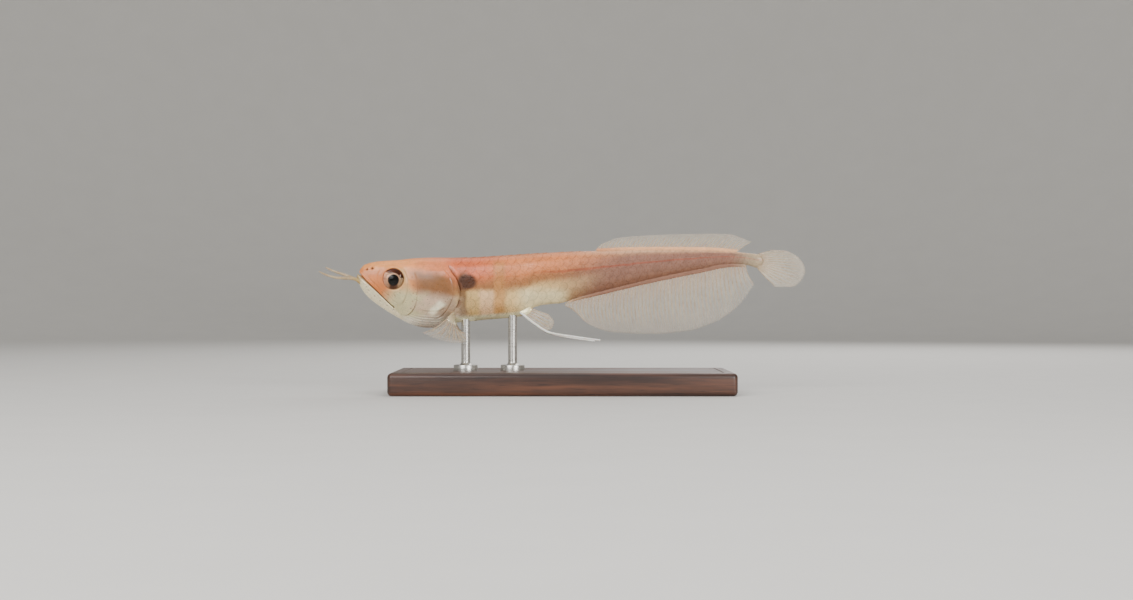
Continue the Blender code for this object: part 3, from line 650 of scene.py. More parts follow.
# Gill margin as s for each share of the way round, and how far the gill slit is open there
gillTop, gillFoot = skin["gillEnds"]
gillLine = [(0, gillTop), *sorted((shareAt(s, z), s) for s, z in skin["gillMargin"]), (1, gillFoot)]
slitEnds = [shareAt(s, z) for s, z in skin["slitEnds"]]


def slitOpen(share):
    return smooth(share, *slitEnds)


# Relief of the head outward from the body's form, in millimetres, and how deep in shade each point lies
def headRelief(s, z, share):
    away = np.hypot(s - eye["place"][0], z - eye["place"][1])
    radius, width, height = eye["fold"]
    floor, edge, depth = eye["socket"]
    rise = height * bell(away, radius, width) - depth * smooth(-away, -edge, -floor)
    deep = np.zeros_like(s)
    rimHeight, rimPlace, rimWidth = head["nostrilRim"]
    for nostrilS, nostrilZ, radius in head["nostrils"]:
        away = np.hypot(s - nostrilS, z - nostrilZ)
        hole = bell(away, 0, radius)
        rise += rimHeight * bell(away, radius * rimPlace, radius * rimWidth)
        rise -= head["nostrilDepth"] * hole
        deep = np.maximum(deep, hole)
    for poreS, poreZ in head["pores"]:
        pit = bell(np.hypot(s - poreS, z - poreZ), 0, head["poreRadius"])
        rise -= head["poreDepth"] * pit
        deep = np.maximum(deep, head["poreShade"] * pit)
    fade, soft = head["edgeFade"], head["edgeSoftness"]
    for height, fall, line in edgeLines:
        beside, place = besideLine(s, z, line)
        ends = smooth(place, 0, fade) * (1 - smooth(place, 1 - fade, 1))
        groove = bell(beside, head["groovePlace"], head["grooveWidth"]) * ends
        rise += height * ends * smooth(beside, -soft, soft) * np.exp(-np.maximum(beside, 0) / fall)
        rise -= height * head["grooveShare"] * groove
        deep = np.maximum(deep, head["grooveShade"] * height * groove)
    ridges = 0.5 + 0.5 * np.cos(2 * math.pi * (1 - share) * girthAt(s) / head["throatFolds"])
    throat = smooth(s, *head["throatFront"]) * (1 - smooth(s, *head["throatRear"]))
    throat = throat * smooth(share, *head["throatShares"])
    return rise + head["throatHeight"] * ridges * throat, deep


# Each row of the skin is its points, how deep in shade they lie, and their shares of the way round
def headRow(s0):
    share, reference = aroundShares(s0), skin["gillReference"]
    s = s0 + (readLine(gillLine, share) - reference) * smooth(s0, skin["gillBend"][0], reference)
    opening = slitOpen(share)
    flare = readLine(skin["gillFlare"], s) * opening
    sunk = (skin["trunkInset"] - skin["headInset"]) * smooth(s, *skin["insetChange"]) * (1 - opening)
    inset = -skin["headInset"] - sunk
    point = surfaceAt(s, share, inset, flare)
    normal = surfaceNormal(np.maximum(s, 0.06), share, inset, flare)
    relief, deep = headRelief(s, point[:, 2], share)

    # lips, and the mouth's lining drawn in between them
    mouthShare = 1 - smooth(s0, *skin["mouthCorner"])
    upper, lower = mouthShares(s0)
    chinOnly = 1 - smooth(s0, *skin["upperLipStart"])
    for edge, side in ((upper, (share <= upper + 1e-6) * (1 - chinOnly)), (lower, share >= lower - 1e-6)):
        lip = bell(np.abs(share - edge) * girthAt(s), skin["lipPlace"], skin["lipWidth"])
        relief += skin["lipHeight"] * lip * side * mouthShare * smooth(s0, *skin["lipStart"])
    point += normal * relief[:, None]
    above, inside, _ = skin["counts"]
    inMouth = np.clip((np.arange(len(share)) - above) / inside, 0, 1)
    cavity = np.sin(math.pi * inMouth) ** skin["mouthFullness"]
    hollow = np.where(inMouth < 0.5, np.maximum(cavity, chinOnly), cavity) * mouthShare
    ahead = (1 - smooth(s0, *skin["mouthFade"])) * smooth(s0, *skin["mouthFront"])
    point[:, 0] += skin["mouthBack"] * hollow * ahead
    point[:, 1] *= 1 - hollow * skin["mouthDepth"]
    point[:, 2] -= skin["mouthDrop"] * hollow * ahead
    # the mouth's hollow gets painted shade through its depth in shade
    return point, np.maximum(deep, hollow * smooth(s0, *skin["mouthShade"])), share


def slitRows():
    share, rows = aroundShares(skin["gillReference"]), []
    opening = slitOpen(share)
    for i, (behind, grow, flare, dark) in enumerate(skin["gillFold"], 1):
        flat = 0.1 + 0.9 * i / len(skin["gillFold"])
        s = readLine(gillLine, share) + behind * opening + flat * (1 - opening)
        depth = grow * opening - skin["trunkInset"] * (1 - opening)
        rows.append((surfaceAt(s, share, depth, flare * opening), dark * opening, share))
    return rows


def trunkRow(s0):
    share, reference = aroundShares(s0), skin["gillReference"]
    s = s0 + (readLine(gillLine, share) - reference) * (1 - smooth(s0, reference, skin["gillBend"][1]))
    return surfaceAt(s, share, -skin["trunkInset"]), np.zeros_like(share), share


# Rounded ends at snout and tail
def snoutRow(angle, base, deep, share):
    hub = np.array((0, 0, base[:, 2].mean()))
    point = hub + (base - hub) * math.cos(angle)
    point[:, 0] = base[:, 0] - skin["snoutCap"] * math.sin(angle)
    return point, deep, share


def tailRow(angle, base, deep, share):
    middle, reach = (base[0, 2] + base[-1, 2]) / 2, (base[0, 2] - base[-1, 2]) / 2
    level = (base[:, 2] - middle) / reach
    point = base.copy()
    point[:, 0] += skin["tailCap"] * math.sin(angle) * (1 - 0.75 * level ** 2)
    point[:, 1] *= math.cos(angle) ** 0.8
    point[:, 2] = middle + (base[:, 2] - middle) * (1 - 0.1 * math.sin(angle))
    return point, deep, share


def makeSkin():
    count, reference = skin["headRows"], skin["gillReference"]
    rows = [headRow(reference * (i / count) ** 1.5) for i in range(count + 1)] + slitRows()
    trunkPlaces = np.arange(reference + 1.15, body["tailRoot"] - 0.4, skin["trunkStep"])
    rows += [trunkRow(s0) for s0 in (*trunkPlaces, body["tailRoot"] - 0.25)]
    snoutEnd = [snoutRow(angle, *rows[0]) for angle in (math.pi / 2, 1.15, 0.75, 0.35)]
    tailEnd = [tailRow(angle, *rows[-1]) for angle in np.linspace(0, math.pi / 2, 9)[1:]]
    half, deep, share = (np.array(part) for part in zip(*snoutEnd, *rows, *tailEnd))
    half[:, (0, -1), 1] = 0
    left = half[:, 1:] * (1, -1, 1)
    piece = shapedSheet("skin", world(np.concatenate((half[:, ::-1], left), axis=1)))
    for name, values in (("girth", share), ("deep", deep)):
        addValues(piece, name, np.concatenate((values[:, ::-1], values[:, 1:]), axis=1))
    weld(piece)
    nodes = ("head", "jaw_lower", "gill_cover_left", "gill_cover_right", "trunk", "tail")
    finishPiece(piece, "skin", skinLooks, nodes)


makeSkin()
print("skin made")


# Scales: spacing along and across the rows, their shape, and the lateral line
scales = {
    "first": 24.6, "last": 105.4, "rows": range(-9, 10),
    "pitch": ((25, 2.45), (60, 2.2), (90, 1.75), (106, 1.3)),
    "rowStep": ((25, 2.5), (50, 2.3), (80, 1.75), (106, 1.15)),
    "lateral": ((25, 0.36), (45, 0.40), (70, 0.45), (106, 0.5)),
    "gillLap": (0.9, 1.2), "keelGap": 0.2, "length": 1.5, "halfWidth": 0.64, "along": 6, "across": 5,
    "sizeSpread": 0.03, "turnSpread": 0.05, "seed": 7, "patch": 0.003,
    "rootDepth": 0.155, "edgeDepth": 0.015, "thickness": 0.035, "crown": 0.02,
    "rimAway": (0.62, 1.0), "rimAlong": (0.45, 0.7),  # where the darker rim begins and is full
    "tube": 0.11, "tubeReach": (0.8, 1.3), "tubeProfile": (0.3, 0.9, 1, 1, 0.85, 0.3),
    "tubeSunk": 0.02, "lineGap": 1.5,
}


# One scale as a small grid rounded to a disc: its points as (along, across), and its faces
def scaleTemplate():
    deselectAll()
    columns, rows = scales["along"], scales["across"]
    bpy.ops.mesh.primitive_grid_add(x_subdivisions=columns, y_subdivisions=rows, size=2)
    grid = bpy.context.object
    x, y = np.array([vertex.co[:2] for vertex in grid.data.vertices]).T
    faces = np.array([face.vertices[:] for face in grid.data.polygons])
    bpy.data.objects.remove(grid)
    count = len(x)
    order = np.arange(count).reshape(rows + 1, columns + 1)
    rim = np.concatenate((order[0, :-1], order[:-1, -1], order[-1, :0:-1], order[:0:-1, 0]))
    walls = np.stack((rim, rim + count, np.roll(rim, -1) + count, np.roll(rim, -1)), -1)
    disc = np.stack((x * np.sqrt(1 - y ** 2 / 2), y * np.sqrt(1 - x ** 2 / 2)), -1)
    return disc, np.concatenate((faces, faces[:, ::-1] + count, walls[:, ::-1]))


# Place of a bake patch on the UV map, by where it lies along and around the body
def patchPlace(s, share, side):
    return stacked(0.01 + 0.98 * s / body["end"], 0.5 + 0.47 * side * share)


# Roots of the scales as (s, share of the way round, pitch, step between rows), along the body
def scaleRoots():
    roots, s0 = [], scales["first"]
    openLap, closedLap = scales["gillLap"]
    while s0 < scales["last"]:
        pitch = readLine(scales["pitch"], s0)
        for row in scales["rows"]:
            root = s0 + (0.5 * pitch if row % 2 else 0.0)
            step = readLine(scales["rowStep"], root)
            share = readLine(scales["lateral"], root) + row * step / girthAt(root)
            keel = 1 - scales["keelGap"] * step / girthAt(root)
            opening = slitOpen(share)
            start = readLine(gillLine, share) - openLap * opening - closedLap * (1 - opening)
            if 0.0 <= share <= keel and start <= root <= scales["last"]:
                roots.append((root, share, pitch, step))
        s0 += pitch
    return roots


def makeScales():
    template, faces = scaleTemplate()
    draw = random.Random(scales["seed"])
    along, across = (template[:, 0] + 1) / 2, template[:, 1]
    rim = smooth(np.hypot(template[:, 0], across), *scales["rimAway"]) * smooth(along, *scales["rimAlong"])
    height = -scales["rootDepth"] + (scales["rootDepth"] - scales["edgeDepth"]) * along
    height = height - scales["crown"] * across ** 2
    spread = np.concatenate((template, template * 1.2)) * scales["patch"] / 2
    coats = {"scales_right": [], "scales_left": []}
    for root, share, pitch, step in scaleRoots():
        size = 1 + draw.uniform(-scales["sizeSpread"], scales["sizeSpread"])
        turn = draw.uniform(-scales["turnSpread"], scales["turnSpread"])
        tone = draw.random()
        s = np.minimum(root + along * scales["length"] * pitch * size, body["tailRoot"] - 0.1)
        girth = share + (across * scales["halfWidth"] * size + turn * (along - 0.5)) * step / girthAt(s)

        # scales on the back or the keel reach over to the other side
        flip = np.where(girth < 0, -1, 1) * np.where(np.abs(girth) > 1, -1, 1)
        girth = np.where(np.abs(girth) > 1, 2 - np.abs(girth), np.abs(girth))
        under = height - scales["thickness"]
        points = np.concatenate((surfaceAt(s, girth, height), surfaceAt(s, girth, under)))
        points[:, 1] *= np.tile(flip, 2)
        for side, coat in zip((1, -1), coats.values()):
            coat.append((points * (1, side, 1), np.tile(girth, 2), np.tile(rim, 2),
                         np.full(len(points), tone), patchPlace(root, share, side) + spread))

    for name, coat in coats.items():
        points, *values, patches = (np.concatenate(part) for part in zip(*coat))
        turned = faces if name == "scales_right" else faces[:, ::-1]
        every = np.concatenate([turned + n * len(spread) for n in range(len(coat))])
        mesh = bpy.data.meshes.new(name)
        mesh.from_pydata(world(points).tolist(), [], every.tolist())
        piece = addObject(name, mesh)
        for label, value in zip(("girth", "rim", "tone"), values):
            addValues(piece, label, value)
        addBakePlaces(piece, patches)
        mesh.validate()
        weld(piece, 0.0005)
        finishPiece(piece, "skin", scaleLooks, angle=40)
        print(name, len(coat), "scales")


# Small half-sunk tubes of the lateral line, one on each scale of its row
def makeLateralLine(name, side):
    paths, s0, profile = [], scales["first"] + scales["lineGap"], np.array(scales["tubeProfile"])
    while s0 < scales["last"] - scales["lineGap"]:
        pitch = readLine(scales["pitch"], s0)
        s = s0 + pitch * np.linspace(*scales["tubeReach"], len(profile))
        point = surfaceAt(s, readLine(scales["lateral"], s0), -scales["tubeSunk"]) * (1, side, 1)
        paths.append((point, scales["tube"] * profile))
        s0 += pitch
    piece = strands(name, paths)
    places = np.array([vertex.co for vertex in piece.data.vertices]) / mm
    s, z = places[:, 0] + body["middle"], places[:, 2] - body["snoutLevel"]
    share = readLine(scales["lateral"], s)
    addValues(piece, "girth", share)
    addValues(piece, "tone", np.ones(len(s)))
    addBakePlaces(piece, patchPlace(s, share + (surfaceAt(s, share)[:, 2] - z) / girthAt(s), side))
    finishPiece(piece, "skin", scaleLooks, angle=40)


scaleLooks = fleshMaterial("pearly_scales")
makeScales()
makeLateralLine("lateral_line_right", 1)
makeLateralLine("lateral_line_left", -1)
print("scales made")


# Eyes: a ball with iris and pupil under a clear cornea, and a soft fleshy rim
def eyeMaterial():
    material, tree, shader = newMaterial("iris_and_pupil", Specular_IOR_Level=0.2)
    s, z = fishPlace(objectPlace(tree))
    s, z = s - eye["place"][0], z - eye["place"][1]
    low = z + eye["pupilDrop"]
    away = calc("SQRT", s * s + low * low)
    fibres = addNode(tree, "CombineXYZ", {0: calc("ARCTAN2", low, s) * 4, 1: away})
    streaks = noise(fibres, 1.8, 4, 0.65)
    pupil = ramp(away, eye["pupil"] + 0.02, eye["pupil"] - 0.06)
    ring = ramp(away, 1.5, 1.6) * ramp(away, 1.9, 1.7) * ramp(z, -0.6, 0.6, 0.3, 1)
    colour = layered(
        tint(118, 98, 72),
        (ramp(streaks, 0.3, 0.7), tint(178, 152, 124)),
        (ramp(s, -0.4, -2.6, 0, 0.75), tint(196, 148, 124)),
        (ramp(s * 0.4 + z, 0.85, 1.35) * ramp(away, 1.75, 1.95) * 0.96, tint(60, 28, 12)),
        (ring, tint(226, 190, 164)),
        (ramp(calc("ABSOLUTE", s), 1.5, 0.7) * ramp(z, -0.8, -1.3) * 0.9, tint(58, 30, 14)),
        (pupil, tint(9, 6, 5)))
    gloss = blend(pupil, ramp(streaks, 0.2, 0.8, 0.22, 0.4), (0.08, 0.08, 0.08, 1))
    setInputs(shader, {"Base Color": colour, "Metallic": ramp(pupil, 0, 1, 0.35, 0), "Roughness": gloss})
    return material


def corneaMaterial():
    material, tree, shader = newMaterial("clear_cornea", Roughness=0.02, Transmission_Weight=1.0, IOR=1.15)
    mist = noise(objectPlace(tree), 400)
    setInputs(shader, {"Base Color": blend(mist, tint(255, 254, 250), tint(250, 252, 255))})
    return material


# Turned form about the eye's axis from a profile of (radius, outward) points
def turnedEye(name, side, profile, dropped, steps=64):
    radius, outward = np.array(profile, float).T[..., None]
    angles = np.linspace(0, 2 * math.pi, steps + 1)
    drop = eye["pupilDrop"] * (1 - smooth(radius, eye["pupil"] + 0.1, 2.5)) * dropped
    s = eye["place"][0] + radius * np.cos(angles)
    z = eye["place"][1] + radius * np.sin(angles) - drop
    piece = shapedSheet(name, world(stacked(s, side * (eye["fromMiddle"] + outward), z)))
    weld(piece)
    return piece


def makeEyes():
    radius, bulge, pupil, thick = (eye[key] for key in ("radius", "bulge", "pupil", "corneaThick"))
    inner = radius - eye["ballGap"]
    share, (level, dome) = np.linspace(0, 1, 9), eye["pupilRise"]
    middle = stacked(pupil * share, level + dome * np.cos(share * math.pi / 2))
    away = np.linspace(pupil + 0.04 * (inner - pupil), inner, 15)
    fall = np.sqrt(np.maximum(1 - ((away - eye["irisShift"]) / radius) ** 2, 0))
    back = quarterArc(inner, -eye["depth"], 8)[-2::-1]
    ball = np.concatenate((middle, stacked(away, eye["irisRise"] * fall), back))
    outside, inside = quarterArc(radius, bulge, 24), quarterArc(radius - thick, bulge - thick, 24)
    shell = np.concatenate((outside, inside[::-1]))
    turns = np.linspace(0, 2 * math.pi, 73)
    s = eye["place"][0] + (radius + eye["rimAway"]) * np.cos(turns)
    z = eye["place"][1] + (radius + eye["rimAway"]) * np.sin(turns)
    share = np.array([shareAt(*place) for place in zip(s, z)])
    ring = stacked(s, surfaceAt(s, share)[:, 1] - eye["rimSink"], z)
    rimThick, rimSwell = eye["rimThick"]
    iris, clear = eyeMaterial(), corneaMaterial()
    for label, side in (("left", -1), ("right", 1)):
        finishPiece(turnedEye("eye_ball_" + label, side, ball, 1), "eye", iris, ("eye_" + label,))
        finishPiece(turnedEye("eye_cornea_" + label, side, shell, 0), "eye", clear)
        radii = rimThick + rimSwell * np.sin(turns)
        rim = strands("eye_rim_" + label, [(ring * (1, side, 1), radii)])
        addValues(rim, "girth", np.full(len(rim.data.vertices), 0.4))
        finishPiece(rim, "skin", skinLooks)


makeEyes()
print("eyes made")


# Fins: rays and their branches over a thin clear membrane, from the fin's root to its edge;
# a sheath is how far the fleshy base reaches, how thick it is and where on the body its colour comes from
fins = {
    "membrane": 0.09, "webEdge": (0.996, 0.022),  # reach of the web's edge, and its dip between rays
    "rootDepth": 0.9, "rootShare": 0.1, "rayPoints": 18, "rayEnd": 0.992,
    "forks": (0.4, 0.66), "forkLap": 0.08, "stemEnd": 0.1, "jointsFrom": 0.15,
    "branchSpread": 0.27, "thinner": 0.74, "taper": 0.55, "joint": 0.05,
    "waveHeight": 0.55, "waveLength": 31.0, "gap": 0.3,
    "dorsal": {"rays": 42, "radius": 0.14, "splits": 1, "sheath": (0.1, 0.26, 0.06), "ripple": 0.4,
        "base": (64.0, 101.6),
        "height": ((0, 1.5), (0.1, 2.9), (0.3, 3.5), (0.6, 3.9), (0.85, 4.1), (1, 2.4)),
        "sweep": ((0, 1.4), (0.5, 2.6), (1, 3.6))},
    "anal": {"rays": 50, "radius": 0.155, "splits": 1, "sheath": (0.04, 0.3, 0.9), "bow": 1.1,
        "base": (56.0, 103.6),
        "edge": ((0, 57.6, -8.9), (0.1, 62.2, -13.4), (0.25, 69, -15.5), (0.45, 78.5, -15.9),
        (0.65, 88, -15.1), (0.8, 95.6, -12.7), (0.92, 102, -8.2), (1, 106, -2.6))},
    "caudal": {"rays": 15, "radius": 0.155, "splits": 2, "sheath": (0.09, 0.24, 0.4), "ripple": 0.8,
        "base": ((107.0, 5.45), (107.0, 1.7)),
        "edge": ((0, 110.8, 6.7), (0.12, 114.2, 6.5), (0.3, 117.5, 4.9), (0.46, 119.2, 2.7),
        (0.58, 119.6, 0.9), (0.74, 118.5, -1.5), (0.88, 116, -3.2), (1, 111.6, -3.3))},
    "pectoral": {"rays": 7, "radius": 0.2, "splits": 2, "sheath": (0.26, 0.42, 0.9), "sag": 0.9,
        "root": ((0, 26.2, -1.5, -9.7), (1, 25.3, -0.7, -11.9)),
        "edge": ((0, 18.6, -15.4, -15.2), (0.17, 21.8, -14.9, -16.6), (0.34, 24.6, -13.3, -17.5),
        (0.5, 26.8, -11.4, -17.9), (0.67, 28.6, -9.3, -17.8), (0.84, 29.6, -7.2, -17.0),
        (1, 29.2, -5.2, -15.4))},
    "pelvic": {"rays": 5, "radius": 0.17, "splits": 2, "sheath": (0.2, 0.42, 0.95), "sag": 0.0,
        "slot": "filament_fin",
        "root": ((0, 43.6, -0.9, -9.9), (1, 45.6, -0.9, -8.7)),
        "edge": ((0, 50.6, -3.0, -14.9), (0.35, 52.2, -3.2, -14.1), (0.7, 52.6, -2.9, -12.4),
        (1, 51.2, -2.3, -10.6))},
    "filaments": {"pelvic_fin_left": ((43.6, -0.9, -9.9), (47.5, -2.3, -13.0), (51.7, -3.2, -15.4),
        (58.1, -3.9, -16.4), (64.8, -4.2, -17.3)),
        "pelvic_fin_right": ((43.6, 0.9, -9.9), (47.3, 2.2, -13.0), (51.2, 3.1, -15.5),
        (57.6, 3.7, -16.9), (63.5, 4.0, -17.7))},
    "filamentRadius": (0.36, 0.2), "filamentSteps": 60,
}


# Slight wave to the sides, growing towards a fin's edge
def ripple(s, out):
    return fins["waveHeight"] * np.sin(2 * math.pi * s / fins["waveLength"]) * np.maximum(out, 0) ** 1.4


# Each place function gives points of a fin at a share of the way along it and out from root to edge
def dorsalPlace(share, out):
    fin = fins["dorsal"]
    s = fin["base"][0] + (fin["base"][1] - fin["base"][0]) * share
    z = readLine(body["back"], s) + fins["gap"] + readLine(fin["height"], share) * out
    return stacked(s + readLine(fin["sweep"], share) * out ** 1.2, ripple(s, out) * fin["ripple"], z)


def analPlace(share, out):
    fin = fins["anal"]
    s = fin["base"][0] + (fin["base"][1] - fin["base"][0]) * share
    z = readLine(body["belly"], s) - fins["gap"]
    edgeS, edgeZ = readCurve(fin["edge"], share)
    bow = fin["bow"] * np.sin(math.pi * out) * (1 - 0.6 * share)
    return stacked(s + (edgeS - s) * out - bow, ripple(s, out), z + (edgeZ - z) * out)


def caudalPlace(share, out):
    fin = fins["caudal"]
    (topS, topZ), (lowS, lowZ) = fin["base"]
    edgeS, edgeZ = readCurve(fin["edge"], share)
    s, z = topS + (lowS - topS) * share, topZ + (lowZ - topZ) * share
    y = ripple(s + 9 * out, out) * fin["ripple"]
    return stacked(s + (edgeS - s) * out, y, z + (edgeZ - z) * out ** 0.92)


def pairedPlace(fin, side):
    def place(share, out):
        start = np.stack(readCurve(fin["root"], share), -1)
        end = np.stack(readCurve(fin["edge"], share), -1)
        out = np.asarray(out)[..., None]
        sag = np.sin(math.pi * out) * (0, 0, fin["sag"])
        return (start + (end - start) * out - sag) * (1, side, 1)
    return place


# The fin carried on below its root, into the body
def rooted(place):
    def longer(share, out):
        share, out = np.broadcast_arrays(np.asarray(share, float), np.asarray(out, float))
        inside = np.clip(out, 0, 1)
        way = unit(place(share, np.full_like(inside, 0.06)) - place(share, np.zeros_like(inside)))
        depth = np.minimum(out, 0) * fins["rootDepth"] / fins["rootShare"]
        return place(share, inside) + way * depth[..., None]
    return longer


def makeMembrane(name, place, rays, rows=14, between=4):
    share = np.linspace(0, 1, (rays - 1) * between + 1)
    reach, dip = fins["webEdge"]
    edge = reach - dip * np.abs(np.cos(2 * math.pi * np.arange(len(share)) / between))
    out = np.linspace(-fins["rootShare"], 1, rows + 1)[:, None] * edge
    piece = shapedSheet(name, world(place(share, out)))
    makeActive(piece)
    solidify = piece.modifiers.new("Solidify", "SOLIDIFY")
    solidify.thickness = fins["membrane"] * mm
    solidify.offset = 0
    solidify.use_even_offset = True
    bpy.ops.object.modifier_apply(modifier=solidify.name)
    return piece


# Jointed rays that split in two towards the edge, once or twice
def makeRays(name, place, fin):
    paths = []
    forks, splits, points = fins["forks"], fin["splits"], fins["rayPoints"]
    spacing, lap = 1 / (fin["rays"] - 1), fins["forkLap"]
    for level in range(splits + 1):
        start = forks[level - 1] - lap if level else -fins["rootShare"]
        end = forks[level] + fins["stemEnd"] if level < splits else fins["rayEnd"]
        out = np.linspace(start, end, points)
        taper = 1 - fins["taper"] * np.clip(out, 0, 1) ** 1.3
        radius = fin["radius"] * fins["thinner"] ** level * taper
        radius *= 1 + fins["joint"] * np.cos(math.pi * np.arange(points)) * (out > fins["jointsFrom"])
        if level:
            radius *= 0.6 + 0.4 * smooth(out, start, start + 0.14)
        if level < splits:
            radius *= 1 - 0.8 * smooth(out, end - 0.12, end)
        for sides in itertools.product((-1, 1), repeat=level):
            away = np.zeros(points)
            for fork, side in enumerate(sides):
                spread = np.clip((out - forks[fork] + lap) / (1 + lap - forks[fork]), 0, 1) ** 0.85
                away += side * fins["branchSpread"] / 2 ** fork * spacing * spread
            for ray in range(fin["rays"]):
                paths.append((place(np.clip(ray * spacing + away, 0, 1), out), radius))
    return strands(name, paths)


# Fleshy base that wraps the roots of a fin's rays
def makeSheath(name, place, fin):
    reach, thick, girth = fin["sheath"]
    root = fins["rootShare"]
    share, turn = np.meshgrid(np.linspace(0, 1, 4 * fin["rays"] + 1), np.linspace(0, 2 * math.pi, 21))
    out = -root + (reach + root) * (1 - np.cos(turn)) / 2
    across = unit(place(np.clip(share + 0.01, 0, 1), out) - place(np.clip(share - 0.01, 0, 1), out))
    normal = unit(np.cross(across, place(share, out + 0.02) - place(share, out)))
    depth = thick * np.sin(turn) * np.sqrt(np.clip(1 - (2 * share - 1) ** 8, 0, 1))
    wide = 0.9 * thick * np.abs(np.sin(turn)) * (2 * share - 1) ** 5
    points = place(share, out) + normal * depth[..., None] + across * wide[..., None]
    piece = shapedSheet(name, world(points))
    addValues(piece, "girth", np.full(share.size, girth))
    weld(piece)
    return piece


def membraneMaterial(name, base, edge, alphas):
    material, tree, shader = newMaterial(name, Roughness=0.28, Specular_IOR_Level=0.4)
    uv = addNode(tree, "UVMap", uv_map="UVMap")
    out = addNode(tree, "SeparateXYZ", {0: uv}, "Y")
    cloud = noise(objectPlace(tree), 260, 4, 0.6)
    mist = ramp(cloud, 0.35, 0.75, 0, 0.4)
    setInputs(shader, {
        "Base Color": layered(base, (ramp(out, 0, 0.75), edge), (mist, tint(214, 206, 190))),
        "Alpha": ramp(out, 0, 0.9, *alphas) * ramp(cloud, 0.3, 0.7, 0.75, 1.2)})
    return material


# Soft horny rays and feelers; feelers take on the chin tip's painted shade at the root
def rayMaterial(name, base, shaded, alpha=1, onChin=False):
    material, tree, shader = newMaterial(
        name, Alpha=alpha, Subsurface_Weight=0.1, Subsurface_Scale=0.5 * mm)
    place = objectPlace(tree)
    cloud = noise(place, 700, 4, 0.6)
    colour = blend(ramp(cloud, 0.3, 0.8), base, shaded)
    if onChin:
        colour = blend(ramp(fishPlace(place)[0], -2.4, 0.4), colour, ink["chinTipShade"])
    setInputs(shader, {"Base Color": colour, "Roughness": ramp(cloud, 0.2, 0.8, 0.3, 0.5)})
    return material


def makeFilament(name):
    steps = fins["filamentSteps"]
    joints = 1 + 0.04 * np.cos(math.pi * np.arange(steps + 1))
    radii = np.linspace(*fins["filamentRadius"], steps + 1) * joints
    return strands(name + "_filament", [(smoothPath(fins["filaments"][name], steps), radii)], 12)


def makeFins():
    clear = membraneMaterial("clear_fin", tint(196, 176, 158), tint(206, 202, 192), (0.42, 0.17))
    milky = membraneMaterial("milky_tail_fin", tint(226, 214, 198), tint(212, 206, 194), (0.62, 0.3))
    rays = rayMaterial("fin_rays", tint(214, 198, 176), tint(178, 158, 134), 0.7)
    white = rayMaterial("white_rays", tint(250, 249, 242), tint(226, 222, 212))
    plans = [("dorsal_fin", dorsalPlace, fins["dorsal"]), ("anal_fin", analPlace, fins["anal"]),
             ("caudal_fin", caudalPlace, fins["caudal"])]
    for label, side in (("left", 1), ("right", -1)):
        for kind in ("pectoral", "pelvic"):
            plans.append((f"{kind}_fin_{label}", pairedPlace(fins[kind], side), fins[kind]))
    for name, place, fin in plans:
        place, slot = rooted(place), fin.get("slot", "fin")
        web = milky if name == "caudal_fin" else clear
        finishPiece(makeMembrane(name + "_membrane", place, fin["rays"]), slot, web)
        finishPiece(makeRays(name + "_rays", place, fin), slot, rays, (name,))
        finishPiece(makeSheath(name + "_root", place, fin), "skin", skinLooks)
        if name in fins["filaments"]:
            finishPiece(makeFilament(name), slot, white)


makeFins()
print("fins made")


# Barbels: soft tapered feelers from the chin, finely ringed, with a broad root
barbels = {
    "paths": {
        "left": ((1.6, -0.5, -2.5), (0.9, -0.62, -1.8), (-0.1, -0.8, -1.2), (-1.3, -1.02, -0.95),
        (-4.8, -1.8, -0.8), (-7.6, -2.3, -0.1), (-9.86, -2.6, 0.92)),
        "right": ((1.6, 0.5, -2.5), (0.9, 0.62, -1.8), (-0.1, 0.8, -1.2), (-1.3, 1.02, -0.75),
        (-3.9, 1.7, 0.2), (-6.4, 2.2, 1.05), (-8.76, 2.6, 2.12))},
    "radii": ((0, 0.62), (0.1, 0.62), (0.2, 0.4256), (0.5, 0.38), (0.97, 0.17), (1, 0.05)),
    "rings": 0.035, "steps": 110,
}


def makeBarbels():
    looks = rayMaterial("barbel_skin", tint(184, 170, 144), tint(146, 126, 98), onChin=True)
    steps = barbels["steps"]
    share = np.linspace(0, 1, steps + 1)
    rings = barbels["rings"] * np.cos(math.pi * np.arange(steps + 1)) * smooth(share, 0.2, 0.35)
    radii = readLine(barbels["radii"], share) * (1 + rings)
    for label, points in barbels["paths"].items():
        barbel = strands(f"barbel_{label}_skin", [(smoothPath(points, steps), radii)], 16)
        finishPiece(barbel, "barbel", looks, ("barbel_" + label,))


makeBarbels()
print("barbels made")


# Stand: a stained wood base with a routed line, and steel rods with turned feet
stand = {
    "length": 90.0, "width": 40.0, "thick": 6.0, "corner": 1.2, "lineInset": 3.2, "lineWidth": 0.5,
    "lineDepth": 0.35, "rodRadius": 1.2, "footRadius": 3.2, "footThick": 1.5, "footFillet": 0.8,
    "footRound": (0.25, 0.07), "endGrain": (0.7, 0.1), "rodInBody": 0.8,
    "rods": {"stand_rod_front": 29.0, "stand_rod_rear": 41.5},
}


# Noise drawn out along the grain or the brush marks
def grainNoise(tree, scale, detail, roughness):
    place = addNode(tree, "Mapping", {"Vector": objectPlace(tree), "Scale": scale})
    return noise(place, 1, detail, roughness)


